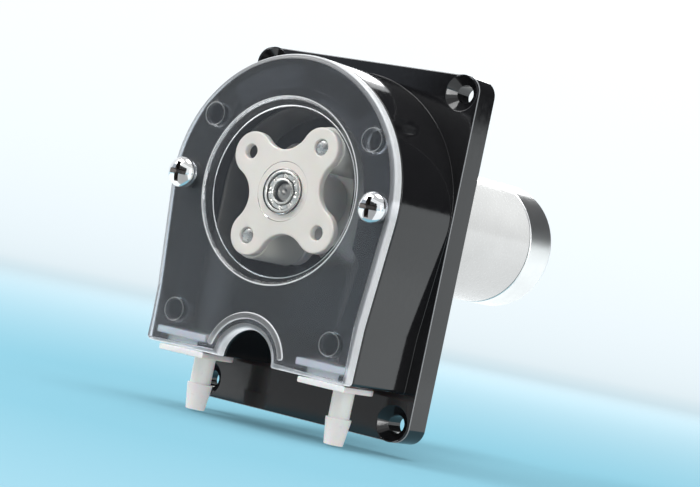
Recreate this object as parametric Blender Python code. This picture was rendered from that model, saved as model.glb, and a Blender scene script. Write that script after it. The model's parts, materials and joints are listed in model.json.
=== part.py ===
"""Flange-mounted peristaltic pump with a two-roller rotor and a planetary gearmotor.

Frame: metres, +Z up. The rotor and motor share the Y axis through the origin. The origin lies
in the flange's panel face, and the pump head faces -Y. Sizes below are in millimetres.
"""
import math

import bmesh
import bpy
from mathutils import Vector

MM = 0.001
GAP = 0.3                      # clearance between pieces that touch
FAR = 6.0                      # how far a cutter runs past the face it opens
SHELL_STEPS = 32               # sides of a large turned shell
ROUND_STEPS = 20
SMALL_STEPS = 12

# Flange plate, measured from the rotor axis
PLATE_HALF_WIDTH = 32.8
PLATE_TOP = 35.3
PLATE_BOTTOM = -51.7
PLATE_FRONT = -7.2
PLATE_CORNER = 4.0
HOLE_X = 27.8
HOLE_TOP = 31.0
HOLE_BOTTOM = -47.4
HOLE_RADIUS = 2.2
COUNTERSINK_RADIUS = 4.2

# Arch-shaped pump head
RIM_RADIUS = 32.2
BASE_RADIUS = 32.6
SHOULDER_Z = -27.0
SHOULDER_HALF = 29.8
HEAD_BOTTOM = -40.3
FOOT_HALF = 29.5
RIM_FRONT = -28.5
NOTCH_RADIUS = 7.6
NOTCH_WALL = 2.2
WALL = 2.0                     # bottom wall that carries the connectors

# Pumping chamber
TRACK_RADIUS = 22.2
TRACK_FOOT = -10.0
LEG_HALF = 25.0
LEG_TOP = -13.0
CHAMBER_FLOOR = -7.2
POCKET_HALF = 28.3
POCKET_TOP = -35.9
CROWN_POCKET = (24.6, 29.8)    # inner and outer radius of the cored pockets
CROWN_POCKET_SPREAD = (3, 42)  # degrees from the crown
CROWN_POCKET_FLOOR = -11.0
SHAFT_HOLE = 4.0

# Front cover
COVER_BACK = -28.8
COVER_FRONT = -31.6
COVER_EDGE = 1.2
WINDOW_RADIUS = 22.05
WINDOW_FRONT = -31.1
LENS_RADIUS = 20.1
LENS_BACK = -29.2
BOSS_OUTER = 7.0
BOSS_BACK = -29.0
SEAT_RADIUS = 5.2              # blind seat for the bearing in the back of the window
SEAT_FLOOR = -30.1
PEG_X = 22.85
PEG_Z = (15.1, -32.0)
PEG_RADIUS = 2.7
PEG_BACK = -26.2

# Cover screws
SCREW_X = 27.8
SCREW_SHANK = 1.85
SCREW_BORE = 2.2
SCREW_TIP = -19.5
COLLAR_RADIUS = 3.0
COLLAR_FRONT = -32.4
HEAD_RADIUS = 3.65
HEAD_HEIGHT = 2.5
RECESS_DEPTH = 1.4
RECESS_LENGTH = 4.2
RECESS_WIDTH = 1.1

# Tube connectors and pump tube
CONNECTOR_X = 20.7
TUBE_Y = -18.6
OUTER_FLANGE = (6.6, -42.0, -40.6)     # half width, bottom, top
INNER_FLANGE = (7.3, -38.1, -36.4)
NECK_HALF = 5.0
STEM_RADIUS = 2.5
BARB_RADIUS = 3.05
BARB_Z = -48.4
TIP_RADIUS = 2.2
TIP_Z = -54.7
STUB_RADIUS = 2.15
STUB_TOP = -29.5
STUB_FOOT = -37.0
CONNECTOR_BORE = 1.4
TUBE_RADIUS = 4.0
TUBE_BORE = 2.45
FLAT_HALF = 1.2                # half thickness of the tube squeezed on the track
FLAT_WIDTH = 5.6
FLAT_BORE = (0.2, 4.2)

# Rotor
PIN_PITCH = 14.06
LOBE_PITCH = 13.4              # the lobes are round about points a little inside the pins
LOBE_RADIUS = 5.2
WAIST_REACH = 10.0
ROTOR_TURN = 55.6              # degrees from +X to the upper roller
FRONT_PLATE = (-28.8, -26.8)
REAR_PLATE = (-11.4, -8.5)
HUB_RADIUS = 6.5
ROLLER_RADIUS = 5.2
ROLLER_SPAN = (-26.5, -11.7)
ROLLER_CHAMFER = 0.5
PIN_RADIUS = 1.75
PIN_BORE = 1.9
PIN_SPAN = (-28.3, -8.8)
SPARE_BORE = 1.7
SHAFT_RADIUS = 3.0
SHAFT_BORE = 3.2
SHAFT_FLAT = 2.5
SPIGOT_RADIUS = 2.3
SPIGOT_START = -28.7
CARRIER = (5.6, 8.2)
CARRIER_RIM = 2.2              # how far the carrier disc reaches past the planet pins

# Ball bearing 5 x 10 x 4
BEARING_SPAN = (-29.9, -25.9)
INNER_RACE = (2.5, 3.05)
OUTER_RACE = (4.4, 5.0)
BALL_RADIUS = 0.55
BALL_PITCH = 3.72
BALL_COUNT = 8
CAGE_HALF = 0.2
CAGE_LENGTH = 1.2

# Planetary gear stage
MODULE = 0.5
SUN_TEETH = 12
PLANET_TEETH = 18
RING_TEETH = 48
ADDENDUM = 0.8 * MODULE
DEDENDUM = 1.1 * MODULE
BACKLASH = 0.05
PRESSURE_ANGLE = math.radians(20)
PLANET_ORBIT = MODULE * (SUN_TEETH + PLANET_TEETH) / 2
PLANET_ANGLES = (90, 210, 330)
GEAR_SPAN = (8.8, 14.8)
PLANET_PIN_RADIUS = 1.0
PLANET_BORE = 1.15

# Gearbox and motor
MOTOR_RADIUS = 16.0
GEARBOX_FRONT = -3.0
GEARBOX_REAR = 18.1
GEARBOX_BORE = 13.8
GEARBOX_SCREW_ORBIT = 11.0
GEARBOX_SCREW_HEAD = 2.75
GEARBOX_SCREW_SHANK = 1.4
GEARBOX_SCREW_COUNTERBORE = 2.2
GEARBOX_WALL_REAR = 1.2
BUSH_BORE = 5.2
BUSH_BOSS = (8.0, 4.8)         # radius and rear end of the boss round the output bush
END_PLATE = (18.4, 21.4)
END_PLATE_BORE = 4.0
MOTOR_SCREW_X = 8.5
MOTOR_SCREW_SHANK = 1.2
MOTOR_SCREW_HEAD = 2.3
MOTOR_SCREW_HEIGHT = 1.2
CAN = (21.7, 56.8)
CAN_WALL = 1.5
CAN_BORE = 14.7
MOTOR_BUSH = 3.0
MOTOR_BUSH_LENGTH = 4.1
CAP = (57.1, 70.0)
CAP_ROUND = 3.5
CAP_WALL = 1.4
CAP_BOSS_RADIUS = 5.5
CAP_BOSS = 72.0
SHAFT_SPAN = (8.9, 71.0)
MOTOR_SHAFT_RADIUS = 1.0
ARMATURE_RADIUS = 11.4
ARMATURE_SPAN = (29.0, 47.0)
ARMATURE_ROOT = 4.2
POLE_SHOE = 9.6
POLES = 5
MAGNET_BORE = 12.0
MAGNET_SPAN = (27.0, 50.0)
COIL_RADIUS = 9.0
COIL_HEAD = 2.4
COMMUTATOR_RADIUS = 3.0
COMMUTATOR_SPAN = (52.6, 59.6)
BRUSH_HOLDER = (55.6, 60.6)
BRUSH_REACH = (3.3, 9.0)
BRUSH_HALF = 1.5
BRUSH_WIDTH = 2.6
TERMINAL_X = 9.0
TERMINAL_HALF = 1.4
TERMINAL_THICKNESS = 0.6
TERMINAL_END = 75.0

WHITE = ("white_plastic", (0.85, 0.86, 0.85), 0.35, 0.0)
IVORY = ("ivory_plastic", (0.86, 0.85, 0.80), 0.45, 0.0)
NATURAL = ("natural_plastic", (0.88, 0.89, 0.88), 0.35, 0.0)
BLACK = ("black_plastic", (0.008, 0.008, 0.009), 0.12, 0.0)
SMOKE = ("cover_plastic", (0.30, 0.32, 0.34), 0.20, 0.0)
RUBBER = ("tube_rubber", (0.05, 0.05, 0.05), 0.60, 0.0)
CHROME = ("chrome_steel", (0.80, 0.80, 0.80), 0.08, 1.0)
STEEL = ("ground_steel", (0.55, 0.56, 0.58), 0.25, 1.0)
BRONZE = ("sintered_bronze", (0.55, 0.36, 0.18), 0.45, 1.0)
COPPER = ("copper", (0.75, 0.34, 0.20), 0.30, 1.0)
FERRITE = ("ferrite", (0.05, 0.05, 0.055), 0.70, 0.0)
CARBON = ("carbon", (0.03, 0.03, 0.03), 0.60, 0.0)
BRASS = ("brass", (0.75, 0.58, 0.26), 0.25, 1.0)


def clear_scene():
    for item in list(bpy.data.objects):
        bpy.data.objects.remove(item, do_unlink=True)


def make_material(finish):
    label, colour, roughness, metallic = finish
    material = bpy.data.materials.new(label)
    material.use_nodes = True
    shader = material.node_tree.nodes["Principled BSDF"]
    shader.inputs["Base Color"].default_value = (*colour, 1.0)
    shader.inputs["Roughness"].default_value = roughness
    shader.inputs["Metallic"].default_value = metallic
    return material


def add_object(name, mesh_data, pivot=(0, 0, 0)):
    """Turn a bmesh in millimetres into an object whose origin is at pivot."""
    bmesh.ops.recalc_face_normals(mesh_data, faces=mesh_data.faces)
    bmesh.ops.translate(mesh_data, verts=mesh_data.verts, vec=-Vector(pivot))
    bmesh.ops.scale(mesh_data, verts=mesh_data.verts, vec=(MM, MM, MM))
    mesh = bpy.data.meshes.new(name)
    mesh_data.to_mesh(mesh)
    mesh_data.free()
    item = bpy.data.objects.new(name, mesh)
    item.location = Vector(pivot) * MM
    bpy.context.scene.collection.objects.link(item)
    return item


def add_part(name, mesh_data, finish, pivot=(0, 0, 0)):
    part = add_object(name, mesh_data, pivot)
    part.data.materials.append(make_material(finish))
    part.data.shade_smooth()
    part.data.set_sharp_from_angle(angle=math.radians(30))
    return part


def combine(part, mesh_data, operation):
    """Cut or join a helper shape with a Boolean modifier and hide the helper."""
    helper = add_object(part.name + "_" + operation.lower(), mesh_data)
    helper.hide_render = True
    helper.display_type = "WIRE"
    modifier = part.modifiers.new(operation, "BOOLEAN")
    modifier.operation = operation
    modifier.object = helper
    modifier.solver = "EXACT"


def cut(part, mesh_data):
    combine(part, mesh_data, "DIFFERENCE")


def join(part, mesh_data):
    combine(part, mesh_data, "UNION")


def turned(profile, steps=ROUND_STEPS, centre=(0.0, 0.0)):
    """Spin (radius, y) points about the line along Y through centre (x, z)."""
    mesh_data = bmesh.new()
    x, z = centre
    points = [mesh_data.verts.new((x + radius, y, z)) for radius, y in profile]
    closed = profile[0][0] > 0.0
    pairs = list(zip(points, points[1:]))
    if closed:
        pairs.append((points[-1], points[0]))
    edges = [mesh_data.edges.new(pair) for pair in pairs]
    bmesh.ops.spin(mesh_data, geom=points + edges, cent=(x, 0, z), axis=(0, 1, 0),
                   angle=2 * math.pi, steps=steps, use_merge=True)
    bmesh.ops.remove_doubles(mesh_data, verts=mesh_data.verts, dist=0.001)
    return mesh_data


def turned_upright(profile, steps, centre):
    """Spin (radius, z) points about the vertical line through centre (x, y)."""
    mesh_data = turned(profile, steps)
    for vert in mesh_data.verts:
        x, y, z = vert.co
        vert.co = (centre[0] + x, centre[1] - z, y)
    return mesh_data


def cylinder(radius, span, centre=(0.0, 0.0), steps=ROUND_STEPS):
    low, high = span
    return turned([(0, low), (radius, low), (radius, high), (0, high)], steps, centre)


def tube(inner, outer, span, steps=ROUND_STEPS):
    low, high = span
    return turned([(inner, low), (outer, low), (outer, high), (inner, high)], steps)


def box(low, high):
    mesh_data = bmesh.new()
    bmesh.ops.create_cube(mesh_data, size=1.0)
    size = Vector(high) - Vector(low)
    middle = (Vector(high) + Vector(low)) / 2
    bmesh.ops.scale(mesh_data, verts=mesh_data.verts, vec=size)
    bmesh.ops.translate(mesh_data, verts=mesh_data.verts, vec=middle)
    return mesh_data


def extruded(outline, start, end):
    """Extrude a closed outline by the vector from start to end."""
    mesh_data = bmesh.new()
    face = mesh_data.faces.new([mesh_data.verts.new(point) for point in outline])
    grown = bmesh.ops.extrude_face_region(mesh_data, geom=[face])
    tops = [item for item in grown["geom"] if isinstance(item, bmesh.types.BMVert)]
    bmesh.ops.translate(mesh_data, verts=tops, vec=Vector(end) - Vector(start))
    return mesh_data


def slab(outline, span):
    """Extrude an outline of (x, z) points along Y."""
    low, high = span
    return extruded([(x, low, z) for x, z in outline], (0, low, 0), (0, high, 0))


def loft(sections):
    """Skin closed rings of equal length and cap the two ends."""
    mesh_data = bmesh.new()
    rings = [[mesh_data.verts.new(point) for point in section] for section in sections]
    count = len(rings[0])
    for lower, upper in zip(rings, rings[1:]):
        for i in range(count):
            j = (i + 1) % count
            mesh_data.faces.new((lower[i], lower[j], upper[j], upper[i]))
    mesh_data.faces.new(rings[0][::-1])
    mesh_data.faces.new(rings[-1])
    return mesh_data


def arc(centre, radius, start, end, steps):
    """Points on a circle, with the angles in degrees."""
    points = []
    for i in range(steps + 1):
        angle = math.radians(start + (end - start) * i / steps)
        points.append((centre[0] + radius * math.cos(angle), centre[1] + radius * math.sin(angle)))
    return points


def on_circle(radius, degrees):
    angle = math.radians(degrees)
    return radius * math.cos(angle), radius * math.sin(angle)


def arch(radius, inset=0.0):
    """Head outline: an arch on tapered sides, then a short parallel foot."""
    radius -= inset
    shoulder = SHOULDER_HALF - inset
    foot = FOOT_HALF - inset
    tangent = math.degrees(math.acos(radius / math.hypot(shoulder, SHOULDER_Z)))
    start = math.degrees(math.atan2(SHOULDER_Z, shoulder)) + tangent
    crown = arc((0, 0), radius, start, 180 - start, 30)
    right = [(foot, HEAD_BOTTOM + inset), (shoulder, SHOULDER_Z)]
    left = [(-x, z) for x, z in reversed(right)]
    return right + crown + left


def rounded_rectangle(low, high, radius):
    corners = [((high[0] - radius, high[1] - radius), 0), ((low[0] + radius, high[1] - radius), 90),
               ((low[0] + radius, low[1] + radius), 180), ((high[0] - radius, low[1] + radius), 270)]
    outline = []
    for centre, start in corners:
        outline += arc(centre, radius, start, start + 90, 4)
    return outline


def chamber_outline():
    """Round track above, straight legs for the tube, and the connectors' flange pocket."""
    arch_radius = NOTCH_RADIUS + NOTCH_WALL
    floor = HEAD_BOTTOM + WALL
    spring = math.degrees(math.asin(WALL / arch_radius))
    left = [(-TRACK_RADIUS, TRACK_FOOT), (-LEG_HALF, LEG_TOP), (-LEG_HALF, POCKET_TOP),
            (-POCKET_HALF, POCKET_TOP), (-POCKET_HALF, floor)]
    right = [(-x, z) for x, z in reversed(left)]
    track = arc((0, 0), TRACK_RADIUS, 0, 180, 24)
    bridge = arc((0, HEAD_BOTTOM), arch_radius, 180 - spring, spring, 10)
    return track + left + bridge + right


def sector(inner, outer, start, end, steps):
    return arc((0, 0), outer, start, end, steps) + arc((0, 0), inner, end, start, steps)


def u_shape(half, front):
    """Flat front edge and a round back, concentric with the tube's axis, as (x, y) points."""
    return [(-half, front), (half, front)] + arc((0, TUBE_Y), half, 0, 180, 10)


def notch():
    """Outline of the half-round finger notch, open below the head."""
    below = HEAD_BOTTOM - FAR
    top = arc((0, HEAD_BOTTOM), NOTCH_RADIUS, 0, 180, 16)
    return [(NOTCH_RADIUS, below)] + top + [(-NOTCH_RADIUS, below)]


def plate_holes():
    return [(x, z) for x in (-HOLE_X, HOLE_X) for z in (HOLE_TOP, HOLE_BOTTOM)]


def build_housing():
    sections = []
    for radius, y in ((RIM_RADIUS, RIM_FRONT), (BASE_RADIUS, PLATE_FRONT), (BASE_RADIUS, PLATE_FRONT + 3)):
        sections.append([(x, y, z) for x, z in arch(radius)])
    housing = add_part("pump_housing", loft(sections), BLACK)
    plate = rounded_rectangle((-PLATE_HALF_WIDTH, PLATE_BOTTOM), (PLATE_HALF_WIDTH, PLATE_TOP), PLATE_CORNER)
    join(housing, slab(plate, (PLATE_FRONT, 0)))
    cut(housing, slab(chamber_outline(), (RIM_FRONT - FAR, CHAMBER_FLOOR)))
    cut(housing, slab(notch(), (RIM_FRONT - FAR, PLATE_FRONT)))
    for side in (-1, 1):
        half = NECK_HALF + GAP
        slot = [(side * CONNECTOR_X + x, y, HEAD_BOTTOM - 1) for x, y in u_shape(half, RIM_FRONT - FAR)]
        cut(housing, extruded(slot, (0, 0, 0), (0, 0, WALL + 2)))
        near, far = CROWN_POCKET_SPREAD
        pocket = sector(*CROWN_POCKET, 90 - side * far, 90 - side * near, 7)
        cut(housing, slab(pocket, (RIM_FRONT - FAR, CROWN_POCKET_FLOOR)))
        cut(housing, cylinder(SCREW_BORE, (RIM_FRONT - FAR, SCREW_TIP + 1), (side * SCREW_X, 0), SMALL_STEPS))
        for z in PEG_Z:
            socket = (RIM_FRONT - FAR, PEG_BACK + 0.5)
            cut(housing, cylinder(PEG_RADIUS + GAP, socket, (side * PEG_X, z), SMALL_STEPS))
    for centre in plate_holes():
        depth = COUNTERSINK_RADIUS - HOLE_RADIUS
        profile = [(0, PLATE_FRONT - FAR), (COUNTERSINK_RADIUS, PLATE_FRONT - FAR),
                   (COUNTERSINK_RADIUS, PLATE_FRONT), (HOLE_RADIUS, PLATE_FRONT + depth),
                   (HOLE_RADIUS, FAR), (0, FAR)]
        cut(housing, turned(profile, 16, centre))
    recess = MOTOR_RADIUS + GAP
    cut(housing, cylinder(recess, (GEARBOX_FRONT - GAP, FAR), steps=SHELL_STEPS))
    cut(housing, cylinder(SHAFT_HOLE, (CHAMBER_FLOOR - 1, 0)))
    for centre in gearbox_screw_centres():
        counterbore = (CHAMBER_FLOOR - 1, CHAMBER_FLOOR + GEARBOX_SCREW_COUNTERBORE)
        cut(housing, cylinder(GEARBOX_SCREW_HEAD + GAP, counterbore, centre, SMALL_STEPS))
        cut(housing, cylinder(GEARBOX_SCREW_SHANK + GAP, (CHAMBER_FLOOR - 1, 0), centre, 10))


def gearbox_screw_centres():
    return [on_circle(GEARBOX_SCREW_ORBIT, degrees) for degrees in (30, 150, 270)]


def build_cover():
    sections = []
    edge = ((0.0, COVER_BACK), (0.0, COVER_FRONT + COVER_EDGE), (0.35, COVER_FRONT + 0.35),
            (COVER_EDGE, COVER_FRONT))
    for inset, y in edge:
        sections.append([(x, y, z) for x, z in arch(RIM_RADIUS, inset)])
    cover = add_part("front_cover", loft(sections), SMOKE)
    for side in (-1, 1):
        join(cover, cylinder(COLLAR_RADIUS, (COLLAR_FRONT, COVER_FRONT + 1), (side * SCREW_X, 0), 16))
        for z in PEG_Z:
            join(cover, cylinder(PEG_RADIUS, (COVER_BACK - 1, PEG_BACK), (side * PEG_X, z), SMALL_STEPS))
    dish = [(0, COVER_FRONT - 1), (WINDOW_RADIUS + 1, COVER_FRONT - 1), (WINDOW_RADIUS, COVER_FRONT),
            (WINDOW_RADIUS - 0.5, WINDOW_FRONT), (0, WINDOW_FRONT)]
    cut(cover, turned(dish, 48))
    lens = [(0, LENS_BACK), (LENS_RADIUS - 0.2, LENS_BACK), (LENS_RADIUS + 0.2, COVER_BACK),
            (LENS_RADIUS + 0.2, COVER_BACK + 1), (0, COVER_BACK + 1)]
    cut(cover, turned(lens, 48))
    join(cover, cylinder(BOSS_OUTER, (LENS_BACK - 0.5, BOSS_BACK)))
    cut(cover, cylinder(SEAT_RADIUS, (SEAT_FLOOR, BOSS_BACK + 1)))
    cut(cover, slab(notch(), (COVER_FRONT - 1, COVER_BACK + 1)))
    for side in (-1, 1):
        cut(cover, cylinder(SCREW_BORE, (COLLAR_FRONT - 1, COVER_BACK + 1), (side * SCREW_X, 0), SMALL_STEPS))


def build_cover_screws():
    base = COLLAR_FRONT - GAP
    crown = base - HEAD_HEIGHT
    profile = [(0, crown), (1.6, crown + 0.06), (2.5, crown + 0.35), (3.2, crown + 0.95),
               (HEAD_RADIUS, crown + 1.9), (HEAD_RADIUS - 0.05, base), (SCREW_SHANK, base),
               (SCREW_SHANK, SCREW_TIP - 1.5), (0, SCREW_TIP)]
    for name, side in (("left", -1), ("right", 1)):
        centre = (side * SCREW_X, 0)
        screw = add_part("cover_screw_" + name, turned(profile, 18, centre), CHROME)
        for length, width in ((RECESS_LENGTH, RECESS_WIDTH), (RECESS_WIDTH, RECESS_LENGTH)):
            low = (centre[0] - length / 2, crown - 1, -width / 2)
            high = (centre[0] + length / 2, crown + RECESS_DEPTH, width / 2)
            cut(screw, box(low, high))


def build_connectors():
    front = COVER_BACK + GAP
    stem = [(0, TIP_Z), (TIP_RADIUS, TIP_Z), (BARB_RADIUS, BARB_Z), (STEM_RADIUS, BARB_Z),
            (STEM_RADIUS, STUB_FOOT), (STUB_RADIUS, STUB_FOOT), (STUB_RADIUS, STUB_TOP), (0, STUB_TOP)]
    bore = [(0, TIP_Z - 1), (CONNECTOR_BORE, TIP_Z - 1), (CONNECTOR_BORE, STUB_TOP + 1), (0, STUB_TOP + 1)]
    for name, side in (("left", -1), ("right", 1)):
        x = side * CONNECTOR_X
        centre = (x, TUBE_Y)
        connector = add_part("tube_connector_" + name, turned_upright(stem, 20, centre), NATURAL)
        neck_front = front + GAP
        steps = [(OUTER_FLANGE[0], front, OUTER_FLANGE[1]), (OUTER_FLANGE[0], front, OUTER_FLANGE[2]),
                 (NECK_HALF, neck_front, OUTER_FLANGE[2]), (NECK_HALF, neck_front, INNER_FLANGE[1]),
                 (INNER_FLANGE[0], front, INNER_FLANGE[1]), (INNER_FLANGE[0], front, INNER_FLANGE[2])]
        rings = []
        for half, edge, z in steps:
            rings.append([(x + px, py, z) for px, py in u_shape(half, edge)])
        join(connector, loft(rings))
        cut(connector, turned_upright(bore, SMALL_STEPS, centre))


def tube_stations():
    """Centre, outward direction and squeeze (0 round, 1 flat) along the tube, right end first."""
    leg = ((INNER_FLANGE[2] + GAP, 0.0), (-26.0, 0.0), (-15.0, 0.0), (-13.8, 0.12), (-12.6, 0.5),
           (-11.4, 0.88), (-10.2, 1.0))
    stations = [((CONNECTOR_X, z), (1.0, 0.0), squeeze) for z, squeeze in leg]
    for centre in arc((0, 0), CONNECTOR_X, 0, 180, 14):
        outward = (centre[0] / CONNECTOR_X, centre[1] / CONNECTOR_X)
        stations.append((centre, outward, 1.0))
    stations += [((-CONNECTOR_X, z), (-1.0, 0.0), squeeze) for z, squeeze in reversed(leg)]
    return stations


def tube_ring(station, round_radius, flat, points=8):
    (x, z), (out_x, out_z), squeeze = station
    thick = round_radius + (flat[0] - round_radius) * squeeze
    wide = round_radius + (flat[1] - round_radius) * squeeze
    ring = []
    for i in range(points):
        angle = 2 * math.pi * i / points
        reach = thick * math.cos(angle)
        ring.append((x + out_x * reach, TUBE_Y + wide * math.sin(angle), z + out_z * reach))
    return ring


def build_tube():
    mesh_data = bmesh.new()
    stations = tube_stations()
    outer = [[mesh_data.verts.new(p) for p in tube_ring(s, TUBE_RADIUS, (FLAT_HALF, FLAT_WIDTH))]
             for s in stations]
    inner = [[mesh_data.verts.new(p) for p in tube_ring(s, TUBE_BORE, FLAT_BORE)] for s in stations]
    count = len(outer[0])
    loop = outer + inner[::-1]
    for lower, upper in zip(loop, loop[1:] + loop[:1]):
        for i in range(count):
            j = (i + 1) % count
            mesh_data.faces.new((lower[i], lower[j], upper[j], upper[i]))
    add_part("pump_tube", mesh_data, RUBBER)


def rotor_outline():
    """Four round lobes joined by concave waists that are tangent to them."""
    root = math.sqrt(0.5)
    rise = WAIST_REACH - LOBE_RADIUS
    waist_distance = (LOBE_PITCH ** 2 - rise ** 2) / (2 * (LOBE_PITCH * root - rise))
    waist_radius = waist_distance - WAIST_REACH
    offset = (waist_distance * root - LOBE_PITCH, waist_distance * root)
    tangent = math.degrees(math.atan2(offset[1], offset[0]))
    outline = []
    for quarter in range(4):
        turn = ROTOR_TURN + 90 * quarter
        lobe = on_circle(LOBE_PITCH, turn)
        outline += arc(lobe, LOBE_RADIUS, turn - tangent, turn + tangent, 9)
        waist = on_circle(waist_distance, turn + 45)
        outline += arc(waist, waist_radius, turn + tangent + 180, turn + 270 - tangent, 6)[1:-1]
    return outline


def build_rotor():
    outline = rotor_outline()
    pins = [on_circle(PIN_PITCH, ROTOR_TURN + 180 * i) for i in range(2)]
    spares = [on_circle(PIN_PITCH, ROTOR_TURN + 90 + 180 * i) for i in range(2)]

    front = add_part("rotor_front_plate", slab(outline, FRONT_PLATE), IVORY)
    join(front, cylinder(HUB_RADIUS, (FRONT_PLATE[1] - 1, REAR_PLATE[0] - GAP)))
    cut(front, cylinder(OUTER_RACE[1] + GAP, (FRONT_PLATE[0] - 1, BEARING_SPAN[1] + 0.4)))
    cut(front, cylinder(SHAFT_BORE, (FRONT_PLATE[0] - 1, 0)))

    rear = add_part("rotor_rear_plate", slab(outline, REAR_PLATE), IVORY)
    cut(rear, cylinder(SHAFT_BORE, (REAR_PLATE[0] - 1, REAR_PLATE[1] + 1)))

    for plate, span in ((front, FRONT_PLATE), (rear, REAR_PLATE)):
        for bore, centres in ((PIN_BORE, pins), (SPARE_BORE, spares)):
            for centre in centres:
                cut(plate, cylinder(bore, (span[0] - 1, span[1] + 1), centre, SMALL_STEPS))

    for name, (x, z) in zip(("upper", "lower"), pins):
        pin = [(0, PIN_SPAN[0]), (PIN_RADIUS - 0.2, PIN_SPAN[0]), (PIN_RADIUS, PIN_SPAN[0] + 0.2),
               (PIN_RADIUS, PIN_SPAN[1]), (0, PIN_SPAN[1])]
        add_part("roller_pin_" + name, turned(pin, SMALL_STEPS, (x, z)), STEEL, (x, 0, z))
        low, high = ROLLER_SPAN
        end = ROLLER_RADIUS - ROLLER_CHAMFER
        sleeve = [(PIN_BORE, low), (end, low), (ROLLER_RADIUS, low + ROLLER_CHAMFER),
                  (ROLLER_RADIUS, high - ROLLER_CHAMFER), (end, high), (PIN_BORE, high)]
        add_part("roller_" + name, turned(sleeve, 20, (x, z)), IVORY, (x, 0, z))


def build_output_shaft():
    carrier_radius = PLANET_ORBIT + CARRIER_RIM
    shoulder = BEARING_SPAN[1] + 0.6
    profile = [(0, SPIGOT_START), (SPIGOT_RADIUS - 0.4, SPIGOT_START), (SPIGOT_RADIUS, SPIGOT_START + 0.4),
               (SPIGOT_RADIUS, shoulder), (SHAFT_RADIUS, shoulder), (SHAFT_RADIUS, CARRIER[0]),
               (carrier_radius, CARRIER[0]), (carrier_radius, CARRIER[1]), (0, CARRIER[1])]
    shaft = add_part("output_shaft", turned(profile), STEEL)
    reach = SHAFT_RADIUS + 1
    cut(shaft, box((SHAFT_FLAT, shoulder - 1, -reach), (reach, REAR_PLATE[1], reach)))
    for index, degrees in enumerate(PLANET_ANGLES):
        x, z = on_circle(PLANET_ORBIT, degrees)
        cut(shaft, cylinder(PLANET_BORE, (CARRIER[0] - 1, CARRIER[1] + 1), (x, z), 10))
        pin = cylinder(PLANET_PIN_RADIUS, (CARRIER[0] + 0.2, GEAR_SPAN[1] + 0.5), (x, z), 10)
        add_part("planet_pin_%d" % (index + 1), pin, STEEL, (x, 0, z))


def build_bearing():
    add_part("bearing_outer_race", tube(*OUTER_RACE, BEARING_SPAN), STEEL)
    add_part("bearing_inner_race", tube(*INNER_RACE, BEARING_SPAN, 20), STEEL)
    middle = sum(BEARING_SPAN) / 2
    crown = tube(BALL_PITCH - CAGE_HALF, BALL_PITCH + CAGE_HALF, (middle, middle + CAGE_LENGTH), 2 * BALL_COUNT)
    cage = add_part("bearing_ball_cage", crown, BRASS)
    for i in range(BALL_COUNT):
        x, z = on_circle(BALL_PITCH, 360 * i / BALL_COUNT)
        ball = bmesh.new()
        bmesh.ops.create_uvsphere(ball, u_segments=6, v_segments=3, radius=BALL_RADIUS)
        bmesh.ops.translate(ball, verts=ball.verts, vec=(x, middle - 0.15, z))
        join(cage, ball)


def involute(angle):
    return math.tan(angle) - angle


def gear_outline(teeth, outside, inside, thinning, phase, centre=(0.0, 0.0)):
    """Involute teeth as (x, z) points. A negative thinning makes the spaces of a ring gear."""
    pitch = MODULE * teeth / 2
    base = pitch * math.cos(PRESSURE_ANGLE)

    def half_angle(radius):
        slope = math.acos(min(1.0, base / radius))
        return math.pi / (2 * teeth) + involute(PRESSURE_ANGLE) - involute(slope) - thinning / pitch

    root = pitch - inside
    tip = pitch + outside
    flank = ((root, half_angle(max(root, base))), (tip, half_angle(tip)))
    outline = []
    for tooth in range(teeth):
        middle = math.radians(phase) + 2 * math.pi * tooth / teeth
        sides = [(radius, middle - half) for radius, half in flank]
        sides += [(radius, middle + half) for radius, half in reversed(flank)]
        outline += [(centre[0] + r * math.cos(a), centre[1] + r * math.sin(a)) for r, a in sides]
    return outline


def build_gears():
    span = (GEAR_SPAN[0] - 0.4, GEAR_SPAN[1] + 0.8)
    ring = add_part("ring_gear", cylinder(GEARBOX_BORE - GAP, span, steps=SHELL_STEPS), STEEL)
    spaces = gear_outline(RING_TEETH, DEDENDUM, ADDENDUM, -BACKLASH, 0)
    cut(ring, slab(spaces, (span[0] - 1, span[1] + 1)))

    sun_outline = gear_outline(SUN_TEETH, ADDENDUM, DEDENDUM, BACKLASH, 180 / SUN_TEETH)
    sun = add_part("sun_gear", slab(sun_outline, (GEAR_SPAN[0] + 0.2, GEAR_SPAN[1] + 0.4)), STEEL)
    cut(sun, cylinder(MOTOR_SHAFT_RADIUS + 0.15, (0, 30), steps=12))

    for index, degrees in enumerate(PLANET_ANGLES):
        centre = on_circle(PLANET_ORBIT, degrees)
        outline = gear_outline(PLANET_TEETH, ADDENDUM, DEDENDUM, BACKLASH, degrees, centre)
        pivot = (centre[0], 0, centre[1])
        planet = add_part("planet_gear_%d" % (index + 1), slab(outline, GEAR_SPAN), WHITE, pivot)
        cut(planet, cylinder(PLANET_BORE, (0, 30), centre, 10))


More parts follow.
